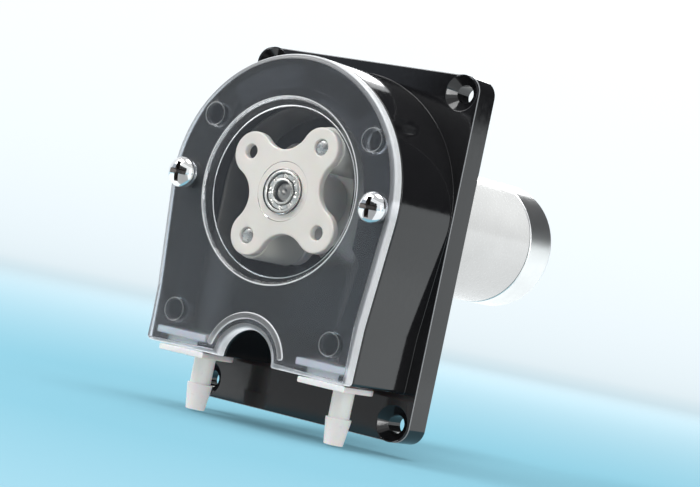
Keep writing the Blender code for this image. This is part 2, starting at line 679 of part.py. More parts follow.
def build_gearbox():
    boss_radius, boss_rear = BUSH_BOSS
    profile = [(BUSH_BORE, GEARBOX_FRONT), (MOTOR_RADIUS - 0.4, GEARBOX_FRONT),
               (MOTOR_RADIUS, GEARBOX_FRONT + 0.4), (MOTOR_RADIUS, GEARBOX_REAR),
               (GEARBOX_BORE, GEARBOX_REAR), (GEARBOX_BORE, GEARBOX_WALL_REAR),
               (boss_radius, GEARBOX_WALL_REAR), (boss_radius, boss_rear), (BUSH_BORE, boss_rear)]
    gearbox = add_part("gearbox_housing", turned(profile, SHELL_STEPS), WHITE)
    bush_span = (GEARBOX_FRONT + 0.4, boss_rear - 0.2)
    add_part("output_bush", tube(SHAFT_RADIUS + 0.15, BUSH_BORE - GAP, bush_span, 20), BRONZE)
    head = [(0, CHAMBER_FLOOR), (GEARBOX_SCREW_HEAD - 0.4, CHAMBER_FLOOR),
            (GEARBOX_SCREW_HEAD, CHAMBER_FLOOR + 0.6), (GEARBOX_SCREW_HEAD, CHAMBER_FLOOR + 1.9),
            (GEARBOX_SCREW_SHANK, CHAMBER_FLOOR + 1.9), (GEARBOX_SCREW_SHANK, -0.2), (0, -0.2)]
    for index, centre in enumerate(gearbox_screw_centres()):
        add_part("gearbox_screw_%d" % (index + 1), turned(head, 12, centre), STEEL)
        cut(gearbox, cylinder(GEARBOX_SCREW_SHANK + GAP, (GEARBOX_FRONT - 1, 0.4), centre, 10))

    plate = add_part("gearbox_end_plate", tube(END_PLATE_BORE, MOTOR_RADIUS, END_PLATE, SHELL_STEPS), STEEL)
    low, high = END_PLATE
    head_low = low + 0.1
    head_high = head_low + MOTOR_SCREW_HEIGHT
    tip = high + 2 * CAN_WALL
    screw = [(0, head_low), (MOTOR_SCREW_HEAD, head_low), (MOTOR_SCREW_HEAD, head_high),
             (MOTOR_SCREW_SHANK, head_high), (MOTOR_SCREW_SHANK, tip), (0, tip)]
    for name, side in (("left", -1), ("right", 1)):
        centre = (side * MOTOR_SCREW_X, 0)
        add_part("motor_screw_" + name, turned(screw, 12, centre), STEEL)
        cut(plate, cylinder(MOTOR_SCREW_SHANK + GAP, (low - 1, high + 1), centre, 10))
        cut(plate, cylinder(MOTOR_SCREW_HEAD + GAP, (low - 1, head_high + GAP), centre, 12))


def build_motor_case():
    front, rear = CAN
    inside = front + CAN_WALL
    bush_hole = MOTOR_BUSH + GAP
    can_profile = [(bush_hole, front), (MOTOR_RADIUS - 0.4, front), (MOTOR_RADIUS, front + 0.4),
                   (MOTOR_RADIUS, rear), (CAN_BORE, rear), (CAN_BORE, inside), (bush_hole, inside)]
    can = add_part("motor_can", turned(can_profile, SHELL_STEPS), WHITE)
    for side in (-1, 1):
        cut(can, cylinder(MOTOR_SCREW_SHANK + GAP, (front - 1, inside + 1), (side * MOTOR_SCREW_X, 0), 10))
    shaft_bore = MOTOR_SHAFT_RADIUS + 0.15
    for name, start in (("front", front + 0.2), ("rear", CAP_BOSS - 0.6 - MOTOR_BUSH_LENGTH)):
        span = (start, start + MOTOR_BUSH_LENGTH)
        add_part("motor_" + name + "_bush", tube(shaft_bore, MOTOR_BUSH, span, 16), BRONZE)

    start, end = CAP
    corner = [(MOTOR_RADIUS - CAP_ROUND + x, end - CAP_ROUND + y)
              for x, y in arc((0, 0), CAP_ROUND, 0, 90, 3)]
    step = CAP_ROUND - CAP_WALL
    cap_profile = [(CAN_BORE, start), (MOTOR_RADIUS, start)] + corner
    cap_profile += [(CAP_BOSS_RADIUS, end), (CAP_BOSS_RADIUS, CAP_BOSS), (bush_hole, CAP_BOSS),
                    (bush_hole, end - CAP_WALL), (CAN_BORE - step, end - CAP_WALL), (CAN_BORE, end - CAP_ROUND)]
    cap = add_part("motor_rear_cap", turned(cap_profile, SHELL_STEPS), CHROME)
    for name, side in (("left", -1), ("right", 1)):
        x = side * TERMINAL_X
        half = TERMINAL_HALF
        foot = BRUSH_HOLDER[1] + GAP
        blade = [(x - half, foot), (x + half, foot), (x + half, TERMINAL_END - 1), (x + half / 2, TERMINAL_END),
                 (x - half / 2, TERMINAL_END), (x - half, TERMINAL_END - 1)]
        flat = TERMINAL_THICKNESS / 2
        outline = [(px, py, -flat) for px, py in blade]
        add_part("motor_terminal_" + name, extruded(outline, (0, 0, -flat), (0, 0, flat)), BRASS)
        room = 0.8
        cut(cap, box((x - half - room, end - CAP_ROUND, -flat - room), (x + half + room, end + 1, flat + room)))


def armature_outline():
    """Poles of the armature: a web from the root to a wide shoe, repeated round the shaft."""
    outline = []
    for pole in range(POLES):
        turn = 90 + 360 * pole / POLES
        for radius, offset in ((ARMATURE_ROOT, -20), (POLE_SHOE, -9), (POLE_SHOE, -30)):
            outline.append(on_circle(radius, turn + offset))
        outline += arc((0, 0), ARMATURE_RADIUS, turn - 30, turn + 30, 4)
        for radius, offset in ((POLE_SHOE, 30), (POLE_SHOE, 9), (ARMATURE_ROOT, 20)):
            outline.append(on_circle(radius, turn + offset))
    return outline


def build_motor_inside():
    for name, middle in (("left", 180), ("right", 0)):
        outline = sector(MAGNET_BORE, CAN_BORE - GAP, middle - 65, middle + 65, 10)
        add_part("motor_magnet_" + name, slab(outline, MAGNET_SPAN), FERRITE)

    shaft = cylinder(MOTOR_SHAFT_RADIUS, SHAFT_SPAN, steps=12)
    add_part("motor_shaft", shaft, STEEL)
    bore = MOTOR_SHAFT_RADIUS + 0.15
    start, end = ARMATURE_SPAN
    armature = add_part("armature_core", slab(armature_outline(), ARMATURE_SPAN), STEEL)
    cut(armature, cylinder(bore, (start - 1, end + 1), steps=SMALL_STEPS))

    coil = (ARMATURE_ROOT - 1.2, COIL_RADIUS)
    winding = add_part("armature_winding", tube(*coil, (start - COIL_HEAD, start - GAP)), COPPER)
    join(winding, tube(*coil, (end + GAP, end + COIL_HEAD)))
    step = 360 / POLES
    for pole in range(POLES):
        turn = 90 + step * pole
        side_coil = sector(ARMATURE_ROOT + 0.5, POLE_SHOE - 1.0, turn + 22, turn + step - 22, 2)
        join(winding, slab(side_coil, (start - 1, end + 1)))

    add_part("commutator", tube(bore, COMMUTATOR_RADIUS, COMMUTATOR_SPAN, 3 * POLES), COPPER)
    holder = tube(COMMUTATOR_RADIUS + 2 * GAP, CAN_BORE - GAP, BRUSH_HOLDER)
    holder = add_part("brush_holder", holder, BLACK)
    low = BRUSH_HOLDER[0] + 0.2
    high = low + BRUSH_WIDTH
    for name, side in (("left", -1), ("right", 1)):
        near, far = sorted(side * reach for reach in BRUSH_REACH)
        add_part("brush_" + name, box((near, low, -BRUSH_HALF), (far, high, BRUSH_HALF)), CARBON)
        near, far = sorted((side * (BRUSH_REACH[0] - 1), side * (BRUSH_REACH[1] + GAP)))
        half = BRUSH_HALF + GAP
        cut(holder, box((near, BRUSH_HOLDER[0] - 1, -half), (far, high + GAP, half)))


clear_scene()
build_housing()
build_cover()
build_cover_screws()
build_connectors()
build_tube()
build_rotor()
build_output_shaft()
build_bearing()
build_gears()
build_gearbox()
build_motor_case()
build_motor_inside()
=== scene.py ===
"""Peristaltic pump: the finished surfaces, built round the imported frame.

Lengths are in millimetres until a mesh becomes an object. The rotor and motor turn about the Y axis,
and the pump head faces -Y.
"""
import json
import math

import bmesh
import bpy
from mathutils import Matrix, Vector


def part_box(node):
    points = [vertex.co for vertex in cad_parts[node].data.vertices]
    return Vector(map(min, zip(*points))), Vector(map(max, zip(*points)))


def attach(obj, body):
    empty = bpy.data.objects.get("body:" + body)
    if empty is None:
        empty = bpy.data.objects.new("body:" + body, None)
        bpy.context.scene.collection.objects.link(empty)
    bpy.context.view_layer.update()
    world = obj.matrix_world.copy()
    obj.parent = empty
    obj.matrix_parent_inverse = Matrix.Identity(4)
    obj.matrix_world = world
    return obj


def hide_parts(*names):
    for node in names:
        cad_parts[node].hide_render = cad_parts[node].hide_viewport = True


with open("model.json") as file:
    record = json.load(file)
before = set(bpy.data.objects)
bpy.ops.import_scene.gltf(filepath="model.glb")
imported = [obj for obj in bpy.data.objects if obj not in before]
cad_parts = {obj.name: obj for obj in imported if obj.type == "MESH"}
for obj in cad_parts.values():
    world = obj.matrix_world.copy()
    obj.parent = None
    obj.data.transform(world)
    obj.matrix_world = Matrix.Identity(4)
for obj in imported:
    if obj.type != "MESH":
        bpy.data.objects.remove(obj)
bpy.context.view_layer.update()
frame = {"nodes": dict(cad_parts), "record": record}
MM = 0.001


def mm_box(node):
    low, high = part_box(node)
    return low / MM, high / MM


HOUSING = mm_box("pump_housing")
COVER = mm_box("front_cover")
SCREW = mm_box("cover_screw_right")
CONNECTOR = mm_box("tube_connector_right")
TUBE = mm_box("pump_tube")
FRONT_PLATE = mm_box("rotor_front_plate")
REAR_PLATE = mm_box("rotor_rear_plate")
ROLLER = mm_box("roller_upper")
PIN = mm_box("roller_pin_upper")
OUTER_RACE = mm_box("bearing_outer_race")
INNER_RACE = mm_box("bearing_inner_race")
SHAFT = mm_box("output_shaft")
GEARBOX = mm_box("gearbox_housing")
END_PLATE = mm_box("gearbox_end_plate")
CAN = mm_box("motor_can")
CAP = mm_box("motor_rear_cap")
TERMINAL = mm_box("motor_terminal_right")

# Flange plate and head
PLATE_FRONT = -7.2
PLATE_CORNER = 4.0
PLATE_FRONT_ROUND = 0.25
PLATE_BACK_ROUND = 0.4
HOLE_X = 27.8
HOLE_Z = (31.0, -47.4)
HOLE_RADIUS = 2.2
COUNTERSINK_RADIUS = 4.2
RIM_RADIUS = COVER[1].x
BASE_RADIUS = RIM_RADIUS + 0.15
SHOULDER_Z = -27.0
SHOULDER_HALF = 29.8
HEAD_BOTTOM = COVER[0].z
FOOT_HALF = 29.5
RIM_FRONT = HOUSING[0].y
HEAD_FILLET = 0.15
HEAD_LIP = 0.35
NOTCH_RADIUS = 7.6
NOTCH_WALL = 2.2
WALL = 2.0
TRACK_RADIUS = 22.2
TRACK_FOOT = -10.0
LEG_HALF = 25.0
LEG_TOP = -13.0
POCKET_HALF = 28.3
POCKET_TOP = -35.9
SCREW_PIT_DEPTH = 10
PEG_PIT_DEPTH = 2.8
TUBE_SLOT_HALF = 5.3
CROWN_POCKET = (24.6, 29.8)
CROWN_POCKET_SPAN = (48, 87)
CROWN_POCKET_FLOOR = -11.0
RECESS_RADIUS = GEARBOX[1].x + 0.3
RECESS_FLOOR = GEARBOX[0].y - 0.3
SHAFT_HOLE = 4.0
GEARBOX_SCREW_ORBIT = 11.0
GEARBOX_SCREW_TURNS = (30, 150, 270)
GEARBOX_SCREW_HOLE = 1.7
GEARBOX_SCREW_SEAT = 3.05
GEARBOX_SCREW_SEAT_DEPTH = 2.2

# Cover
COVER_FRONT = -31.6
COVER_BACK = -28.8
COVER_ROUND = 1.3
WINDOW_RADIUS = 22.05
WINDOW_FRONT = -31.1
LENS_RADIUS = 20.1
LENS_BACK = -29.2
BOSS_RADIUS = 7.0
BOSS_BACK = -29.0
SEAT_RADIUS = 5.2
SEAT_FLOOR = -30.1
PEG_X = 22.85
PEG_Z = (15.1, -32.0)
PEG_RADIUS = 2.7
SCREW_X = (SCREW[0].x + SCREW[1].x) / 2
SCREW_BORE = 2.2
COLLAR_RADIUS = 3.0
RIB_GAPS = (0.1, 1.7)
RIB_START = 12
SCREW_HEAD_DEPTH = 2.5
SCREW_DOME = 1.95
THREAD_CORE = 1.5
THREAD_CREST = 1.85
THREAD_PITCH = 0.9
CROSS_ARMS = ((2.5, 0.6), (0.6, 2.5))

# Rotor
PIN_PITCH = 14.06
LOBE_PITCH = 13.4
LOBE_RADIUS = 5.2
WAIST_REACH = 10.0
ROTOR_TURN = 55.6
PLATE_THICKNESS = 2.0
PIN_BORE = 1.9
SPARE_BORE = 1.7
HUB_RADIUS = 6.5
SHAFT_BORE = 3.2
OUTER_RACE_BORE = 4.4
INNER_RACE_BORE = 2.5
RACE_CHAMFER = 0.2
CAGE_PITCH = 3.72
CAGE_HALF = 0.42
CAGE_DEPTH = 0.35
BALL_COUNT = 8
BALL_RADIUS = 0.6

# Gearmotor
CARRIER_FRONT = 5.6
PLANET_ORBIT = 7.5
PLANET_TURNS = (90, 210, 330)
PLANET_PIN_HOLE = 1.15
BUSH_HOLE = 5.2
GEAR_WALL = 13.8
GEARBOX_INSIDE = (1.2, 4.8)
MOTOR_SCREW_X = 8.5
MOTOR_SCREW_HOLE = 1.5
MOTOR_SCREW_SEAT = 2.6
CAN_BORE = 14.7
MOTOR_BUSH_HOLE = 3.3
CAP_CORNER = 3.5
CAP_WALL = 1.4
CAP_BOSS = 5.5
CAP_BOSS_LENGTH = 2.0
TERMINAL_X = (TERMINAL[0].x + TERMINAL[1].x) / 2

# Connectors and tube
CONNECTOR_X = (CONNECTOR[0].x + CONNECTOR[1].x) / 2
TUBE_Y = (TUBE[0].y + TUBE[1].y) / 2
OUTER_FLANGE = (6.6, -42.0, -40.6)
INNER_FLANGE = (7.3, -38.1, -36.4)
FLANGE_ROUND = ((0.25, 0), (0.07, 0.07), (0, 0.25))
NECK_HALF = 5.0
NECK_INSET = 1.8
BARB_Z = -48.4
TUBE_RADIUS = 4.0
TUBE_BORE = 2.45
FLAT_TUBE = (1.2, 5.6)
FLAT_BORE = (0.2, 4.2)
TUBE_TRACK = 20.7

# Studio floor
FLOOR_Z = HOUSING[0].z - 3.4
FLOOR_RADIUS = 1500.0
FLOOR_SWEEP = 700.0
WALL_TOP = 1800.0
FLOOR_GLOW = 0.40

# Studio cards and lamps, in metres. A turn is in degrees, from the way the head faces towards +X.
# A flag has a name, its first and last turn and a (distance, height) profile. A card adds a colour
# and a glow. A softbox has a name, a place, a size and a power in watts.
CARD_FOOT = FLOOR_Z * MM + 0.002
CARD_STEPS = 40
FLAGS = [("right_flag", 100, 200, [(0.9, 0.03), (0.9, 0.95)]),
         ("front_flag", -33, 15, [(1.0, -0.03), (1.0, 0.4)])]
CARDS = [("side_card", 95, 178, [(0.45, CARD_FOOT), (0.45, 0.055)], (0.93, 0.98, 1.0), 1.15),
         ("low_card", 25, 320, [(0.06, CARD_FOOT), (0.45, CARD_FOOT)], (0.93, 0.98, 1.0), 1.15),
         ("front_low_card", -40, 25, [(0.06, CARD_FOOT), (0.45, CARD_FOOT)], (0.95, 0.98, 1.0), 0.40),
         ("veil_card", -75, -33, [(1.0, CARD_FOOT), (1.0, 0.35)], (0.78, 0.87, 1.0), 0.48)]
SOFTBOXES = [("key_softbox", (-0.75, -0.65, 0.75), (0.7, 0.7), 9),
             ("top_softbox", (0.1, -0.05, 0.95), (0.7, 0.5), 6),
             ("back_softbox", (-0.42, 0.78, 0.36), (0.30, 0.20), 1.0),
             ("edge_softbox", (0.75, -0.52, 0.05), (0.08, 0.6), 1.5)]

# Solid surfaces: key, material name, two shades, roughness range, metallic, grain per metre, relief in mm,
# and where needed the stretch of the grain along Y and other shader sockets
FINISHES = [
    ("black_plastic", "black_abs", (0.006, 0.006, 0.007), (0.010, 0.010, 0.011), (0.07, 0.13), 0.0, 700,
     0.004),
    # A lighter grey on the flange plate's front edge rounding: a painted glint along that edge.
    ("black_painted_glint", "black_abs_painted_glint", (0.30, 0.31, 0.32), (0.24, 0.25, 0.26), (0.20, 0.30), 0.0, 700, 0.002),
    ("ivory_plastic", "ivory_acetal", (0.73, 0.722, 0.71), (0.69, 0.68, 0.665), (0.34, 0.46), 0.0, 1200,
     0.008, 1, {"Subsurface Weight": 0.25, "Subsurface Scale": 0.001}),
    ("roller_plastic", "roller_acetal", (0.78, 0.78, 0.74), (0.72, 0.71, 0.66), (0.30, 0.42), 0.0, 1200,
     0.006),
    ("gear_plastic", "gear_acetal", (0.80, 0.79, 0.72), (0.72, 0.70, 0.62), (0.35, 0.5), 0.0, 1500, 0.008),
    ("natural_plastic", "natural_polypropylene", (0.84, 0.84, 0.82), (0.77, 0.78, 0.77), (0.26, 0.38), 0.0,
     1100, 0.01, 1, {"Subsurface Weight": 0.5, "Subsurface Scale": 0.0015}),
    ("white_plastic", "white_abs", (0.82, 0.83, 0.82), (0.77, 0.78, 0.77), (0.24, 0.34), 0.0, 1000, 0.003),
    ("white_paint", "white_enamel", (0.83, 0.84, 0.83), (0.78, 0.79, 0.78), (0.20, 0.30), 0.0, 1400, 0.002, 1,
     {"Coat Weight": 0.3, "Coat Roughness": 0.15}),
    ("tube_rubber", "tube_elastomer", (0.060, 0.060, 0.058), (0.040, 0.040, 0.039), (0.42, 0.58), 0.0, 1600,
     0.02),
    ("chrome_steel", "plated_steel", (0.83, 0.83, 0.82), (0.74, 0.75, 0.76), (0.05, 0.13), 1.0, 900, 0.003),
    ("satin_steel", "satin_steel", (0.84, 0.85, 0.84), (0.76, 0.77, 0.77), (0.30, 0.36), 1.0, 1500, 0.0005),
    ("bearing_steel", "bearing_steel", (0.88, 0.88, 0.86), (0.80, 0.80, 0.79), (0.26, 0.34), 1.0, 1500,
     0.0005),
    ("shaft_steel", "shaft_steel", (0.34, 0.34, 0.34), (0.28, 0.28, 0.28), (0.30, 0.42), 1.0, 2200, 0.002,
     0.08),
    ("ground_steel", "ground_steel", (0.60, 0.61, 0.62), (0.50, 0.51, 0.52), (0.20, 0.36), 1.0, 2200, 0.004,
     0.08),
    ("sintered_bronze", "sintered_bronze", (0.50, 0.34, 0.18), (0.36, 0.25, 0.14), (0.38, 0.60), 0.9, 3000,
     0.02),
    ("copper", "enamelled_copper", (0.66, 0.27, 0.13), (0.50, 0.19, 0.09), (0.22, 0.36), 0.9, 2600, 0.03,
     0.1),
    ("ferrite", "ferrite", (0.055, 0.055, 0.06), (0.035, 0.035, 0.04), (0.55, 0.8), 0.0, 2500, 0.02),
    ("carbon", "carbon_brush", (0.04, 0.04, 0.04), (0.02, 0.02, 0.02), (0.45, 0.7), 0.0, 2600, 0.02),
    ("brass", "tinned_brass", (0.78, 0.62, 0.32), (0.66, 0.52, 0.28), (0.18, 0.32), 1.0, 1800, 0.004),
    # A dark steel for the screws' cross recesses: painted shade inside the recess.
    ("recess_steel_painted_shade", "driver_recess_painted_shade", (0.16, 0.14, 0.13), (0.08, 0.07, 0.07), (0.35, 0.5), 1.0, 2500, 0.01),
]
# Clear surfaces: key, material name, colour, roughness range, share of white scatter, grain per metre,
# relief in mm
CLEAR_PLASTICS = [
    ("frosted", "frosted_acrylic", (0.72, 0.75, 0.80), (0.235, 0.245), 0.008, 500, 0),
    ("window", "polished_acrylic", (0.95, 0.94, 0.92), (0.0, 0.02), 0.0, 300, 0),
    # A whiter, milkier acrylic for the cover's edges and ring steps: painted highlights along them.
    ("cover_edge_painted_highlight", "frosted_edge_painted_highlight", (0.93, 0.95, 0.96), (0.30, 0.42), 0.55, 1800, 0.01),
    ("cover_mist", "frosted_relief", (0.90, 0.92, 0.94), (0.28, 0.30), 0.12, 500, 0),
]

SIDES = (("left", -1), ("right", 1))
CREASE = 42


# ---- outlines

def arc(centre, radius, start, end, steps):
    """Points on a circle, with the angles in degrees."""
    points = []
    for i in range(steps + 1):
        angle = math.radians(start + (end - start) * i / steps)
        points.append((centre[0] + radius * math.cos(angle), centre[1] + radius * math.sin(angle)))
    return points


def circle(centre, radius, steps):
    return arc(centre, radius, 0, 360, steps)[:-1]


def on_circle(radius, degrees):
    angle = math.radians(degrees)
    return radius * math.cos(angle), radius * math.sin(angle)


def blunt(outline, corners, steps=5):
    """Round some corners of a closed outline. corners maps a point's index to its radius."""
    result = []
    count = len(outline)
    for i, point in enumerate(outline):
        radius = corners.get(i, corners.get(i - count))
        if not radius:
            result.append(point)
            continue
        corner = Vector(point)
        back = (Vector(outline[i - 1]) - corner).normalized()
        ahead = (Vector(outline[(i + 1) % count]) - corner).normalized()
        half = back.angle(ahead) / 2
        centre = corner + (back + ahead).normalized() * (radius / math.sin(half))
        start = corner + back * (radius / math.tan(half)) - centre
        end = corner + ahead * (radius / math.tan(half)) - centre
        first = math.degrees(math.atan2(start.y, start.x))
        sweep = (math.degrees(math.atan2(end.y, end.x)) - first + 180) % 360 - 180
        result += arc(centre, radius, first, first + sweep, steps)
    return result


def grown(outline, distance):
    """Offset a closed counter-clockwise outline outwards by distance."""
    if distance == 0:
        return list(outline)
    result = []
    count = len(outline)
    for i in range(count):
        here = Vector(outline[i])
        back = (here - Vector(outline[i - 1])).normalized()
        ahead = (Vector(outline[(i + 1) % count]) - here).normalized()
        along = (back + ahead).normalized()
        normal = Vector((along.y, -along.x))
        result.append(tuple(here + normal * (distance / max(0.3, along.dot(ahead)))))
    return result


def rounded_rectangle(low, high, radius, steps=10):
    corners = [((high[0] - radius, high[1] - radius), 0), ((low[0] + radius, high[1] - radius), 90),
               ((low[0] + radius, low[1] + radius), 180), ((high[0] - radius, low[1] + radius), 270)]
    outline = []
    for centre, start in corners:
        outline += arc(centre, radius, start, start + 90, steps)
    return outline


def head_outline(radius, grow=0.0):
    """Arched head with tapered sides, a short foot and the half-round finger notch."""
    radius += grow
    shoulder = SHOULDER_HALF + grow
    foot = FOOT_HALF + grow
    bottom = HEAD_BOTTOM - grow
    notch = NOTCH_RADIUS - grow
    tangent = math.degrees(math.acos(radius / math.hypot(shoulder, SHOULDER_Z)))
    start = math.degrees(math.atan2(SHOULDER_Z, shoulder)) + tangent
    lip = math.degrees(math.asin(grow / notch))
    right = [(foot, bottom), (shoulder, SHOULDER_Z)]
    crown = arc((0, 0), radius, start, 180 - start, 96)
    left = [(-x, z) for x, z in reversed(right)]
    notch_arc = arc((0, HEAD_BOTTOM), notch, 180 + lip, -lip, 32)
    first_lip = len(right) + len(crown) + len(left)
    corners = {0: 0.9 + grow, first_lip - 1: 0.9 + grow, first_lip: 0.35, -1: 0.35}
    return blunt(right + crown + left + notch_arc, corners)


def chamber_outline():
    """Round track above, straight legs for the tube, and the pocket for the connectors' flanges."""
    arch_radius = NOTCH_RADIUS + NOTCH_WALL
    floor = HEAD_BOTTOM + WALL
    spring = math.degrees(math.asin(WALL / arch_radius))
    left = [(-TRACK_RADIUS, TRACK_FOOT), (-LEG_HALF, LEG_TOP), (-LEG_HALF, POCKET_TOP),
            (-POCKET_HALF, POCKET_TOP), (-POCKET_HALF, floor)]
    right = [(-x, z) for x, z in reversed(left)]
    track = arc((0, 0), TRACK_RADIUS, 0, 180, 64)
    bridge = arc((0, HEAD_BOTTOM), arch_radius, 180 - spring, spring, 24)
    return track + left + bridge + right


def sector(inner, outer, start, end, steps=24):
    """Part of a flat ring, with rounded corners."""
    outline = arc((0, 0), outer, start, end, steps) + arc((0, 0), inner, end, start, steps)
    return blunt(outline, {0: 0.8, steps: 0.8, steps + 1: 0.8, -1: 0.8})


def u_outline(half, front, steps=32):
    """Flat front edge and a round back, concentric with the tube's axis, as (x, y) points."""
    return [(-half, front), (half, front)] + arc((0, TUBE_Y), half, 0, 180, steps)


def rotor_outline():
    """Four round lobes joined by concave waists that are tangent to them."""
    root = math.sqrt(0.5)
    rise = WAIST_REACH - LOBE_RADIUS
    waist_distance = (LOBE_PITCH ** 2 - rise ** 2) / (2 * (LOBE_PITCH * root - rise))
    waist_radius = waist_distance - WAIST_REACH
    offset = (waist_distance * root - LOBE_PITCH, waist_distance * root)
    tangent = math.degrees(math.atan2(offset[1], offset[0]))
    outline = []
    for quarter in range(4):
        turn = ROTOR_TURN + 90 * quarter
        outline += arc(on_circle(LOBE_PITCH, turn), LOBE_RADIUS, turn - tangent, turn + tangent, 28)
        waist = on_circle(waist_distance, turn + 45)
        outline += arc(waist, waist_radius, turn + tangent + 180, turn + 270 - tangent, 20)[1:-1]
    return outline


def quarter(steps):
    """The sine and cosine of angles from 0 to 90 degrees."""
    angles = [math.pi / 2 * i / steps for i in range(steps + 1)]
    return [(math.sin(angle), math.cos(angle)) for angle in angles]


def edge(front, back, front_round, back_round):
    """Profile of a plate's side as (growth, y) points, from the front face to the back face."""
    turn = quarter(4)
    profile = [(front_round * (sine - 1), front + front_round * (1 - cosine)) for sine, cosine in turn]
    return profile + [(back_round * (cosine - 1), back - back_round * (1 - sine)) for sine, cosine in turn]


# ---- meshes

def ring(mesh, outline, y):
    return [mesh.verts.new((x, y, z)) for x, z in outline]


def band(mesh, rings, slot=0):
    """Skin neighbouring rings of equal length."""
    for lower, upper in zip(rings, rings[1:]):
        for i in range(len(lower)):
            j = (i + 1) % len(lower)
            face = mesh.faces.new((lower[i], lower[j], upper[j], upper[i]))
            face.material_index = slot


def flat(mesh, loops, slot=0):
    """Fill the flat area between an outer ring and the rings inside it."""
    edges = []
    for loop in loops:
        for i in range(len(loop)):
            pair = (loop[i], loop[(i + 1) % len(loop)])
            edges.append(mesh.edges.get(pair) or mesh.edges.new(pair))
    made = bmesh.ops.triangle_fill(mesh, use_beauty=True, use_dissolve=False, edges=edges)
    for item in made["geom"]:
        if isinstance(item, bmesh.types.BMFace):
            item.material_index = slot


def sides(mesh, outline, profile, slot=0):
    """Rings of an outline grown as the profile says, skinned together. Returns the end rings."""
    rings = [ring(mesh, grown(outline, growth), y) for growth, y in profile]
    band(mesh, rings, slot)
    return rings[0], rings[-1]


def pit(mesh, outline, front, floor):
    """A blind pocket from the front face down to its floor. Returns its mouth."""
    lip = 0.2
    profile = [(lip, front), (0.3 * lip, front + 0.3 * lip), (0, front + lip), (0, floor)]
    mouth, bottom = sides(mesh, outline, profile)
    flat(mesh, [bottom])
    return mouth


def round_wall(mesh, centre, profile, steps, slot=0):
    """Circles round centre as the (radius, y) profile says, skinned together. Returns the end rings."""
    rings = [ring(mesh, circle(centre, radius, steps), y) for radius, y in profile]
    band(mesh, rings, slot)
    return rings[0], rings[-1]


def stepped_wall(mesh, profile, steps=160):
    """A round wall about the middle whose (radius, y, slot) points also name the material that follows."""
    rings = [ring(mesh, circle((0, 0), radius, steps), y) for radius, y, _ in profile]
    for first, second, (_, _, slot) in zip(rings, rings[1:], profile):
        band(mesh, [first, second], slot)
    return rings[0], rings[-1]


def closed(mesh, rings):
    """Skin the rings and close both ends. Returns the mesh."""
    band(mesh, rings)
    mesh.faces.new(rings[0])
    mesh.faces.new(rings[-1])
    return mesh


def turned(profile, steps=96, centre=(0.0, 0.0)):
    """Turn (radius, y) points about the line along Y through centre. Ends on the axis are closed."""
    mesh = bmesh.new()
    rings = []
    for radius, y in profile:
        if radius == 0:
            rings.append([mesh.verts.new((centre[0], y, centre[1]))])
        else:
            rings.append(ring(mesh, circle(centre, radius, steps), y))
    if profile[0][0] > 0:
        rings.append(rings[0])
    for lower, upper in zip(rings, rings[1:]):
        for i in range(steps):
            j = (i + 1) % steps
            corners = [lower[i % len(lower)], lower[j % len(lower)],
                       upper[j % len(upper)], upper[i % len(upper)]]
            corners = list(dict.fromkeys(corners))
            if len(corners) > 2:
                mesh.faces.new(corners)
    return mesh


def drill(radius, start, end, centre):
    """A plain round cutter along Y."""
    return turned([(0, start), (radius, start), (radius, end), (0, end)], 32, centre)


def softened(points, radius=0.3, steps=3):
    """Round the corners of an open (radius, y) profile, apart from its ends."""
    result = [points[0]]
    for i in range(1, len(points) - 1):
        here = Vector(points[i])
        back = Vector(points[i - 1]) - here
        ahead = Vector(points[i + 1]) - here
        reach = min(radius, 0.45 * back.length, 0.45 * ahead.length)
        if reach < 0.02:
            result.append(points[i])
            continue
        start = here + back.normalized() * reach
        end = here + ahead.normalized() * reach
        for k in range(steps + 1):
            t = k / steps
            result.append(tuple(start * (1 - t) ** 2 + here * 2 * t * (1 - t) + end * t ** 2))
    result.append(points[-1])
    return result


def add_object(name, data):
    item = bpy.data.objects.new(name, data)
    bpy.context.scene.collection.objects.link(item)
    return item


def solid(name, mesh):
    """Turn a mesh in millimetres into an object in metres, with its faces turned outwards."""
    bmesh.ops.recalc_face_normals(mesh, faces=mesh.faces)
    bmesh.ops.scale(mesh, verts=mesh.verts, vec=(MM, MM, MM))
    data = bpy.data.meshes.new(name)
    mesh.to_mesh(data)
    mesh.free()
    return add_object(name, data)


def smooth(data, crease=CREASE):
    """Smooth shading, apart from edges sharper than crease degrees."""
    data.shade_smooth()
    data.set_sharp_from_angle(angle=math.radians(crease))


def piece(name, mesh, materials, body, nodes, weighted=True):
    """Make a finished object from a mesh in millimetres and tie it to its body and CAD nodes."""
    bmesh.ops.remove_doubles(mesh, verts=mesh.verts, dist=1e-4)
    item = solid(name, mesh)
    data = item.data
    smooth(data)
    for material in materials:
        data.materials.append(material)
    if weighted:
        modifier = item.modifiers.new("Even shading", "WEIGHTED_NORMAL")
        modifier.keep_sharp = True
    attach(item, body)
    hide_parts(*nodes)
    return item


def carve(item, mesh):
    """Cut a shape from an object and keep the result as the object's own mesh."""
    cutter = solid("cutter", mesh)
    data = cutter.data
    modifier = item.modifiers.new("Cut", "BOOLEAN")
    modifier.operation = "DIFFERENCE"
    modifier.object = cutter
    modifier.solver = "EXACT"
    item.modifiers.move(len(item.modifiers) - 1, 0)
    graph = bpy.context.evaluated_depsgraph_get()
    others = [m for m in item.modifiers if m != modifier]
    for other in others:
        other.show_viewport = False
    graph.update()
    result = bpy.data.meshes.new_from_object(item.evaluated_get(graph), depsgraph=graph)
    for other in others:
        other.show_viewport = True
    item.modifiers.remove(modifier)
    old = item.data
    result.name = old.name
    item.data = result
    bpy.data.meshes.remove(old)
    bpy.data.objects.remove(cutter, do_unlink=True)
    bpy.data.meshes.remove(data)
    smooth(result)


# ---- materials

def new_material(name):
    material = bpy.data.materials.new(name)
    material.use_nodes = True
    return material, material.node_tree, material.node_tree.nodes["Principled BSDF"]


def set_inputs(node, values):
    for name, value in values.items():
        node.inputs[name].default_value = value


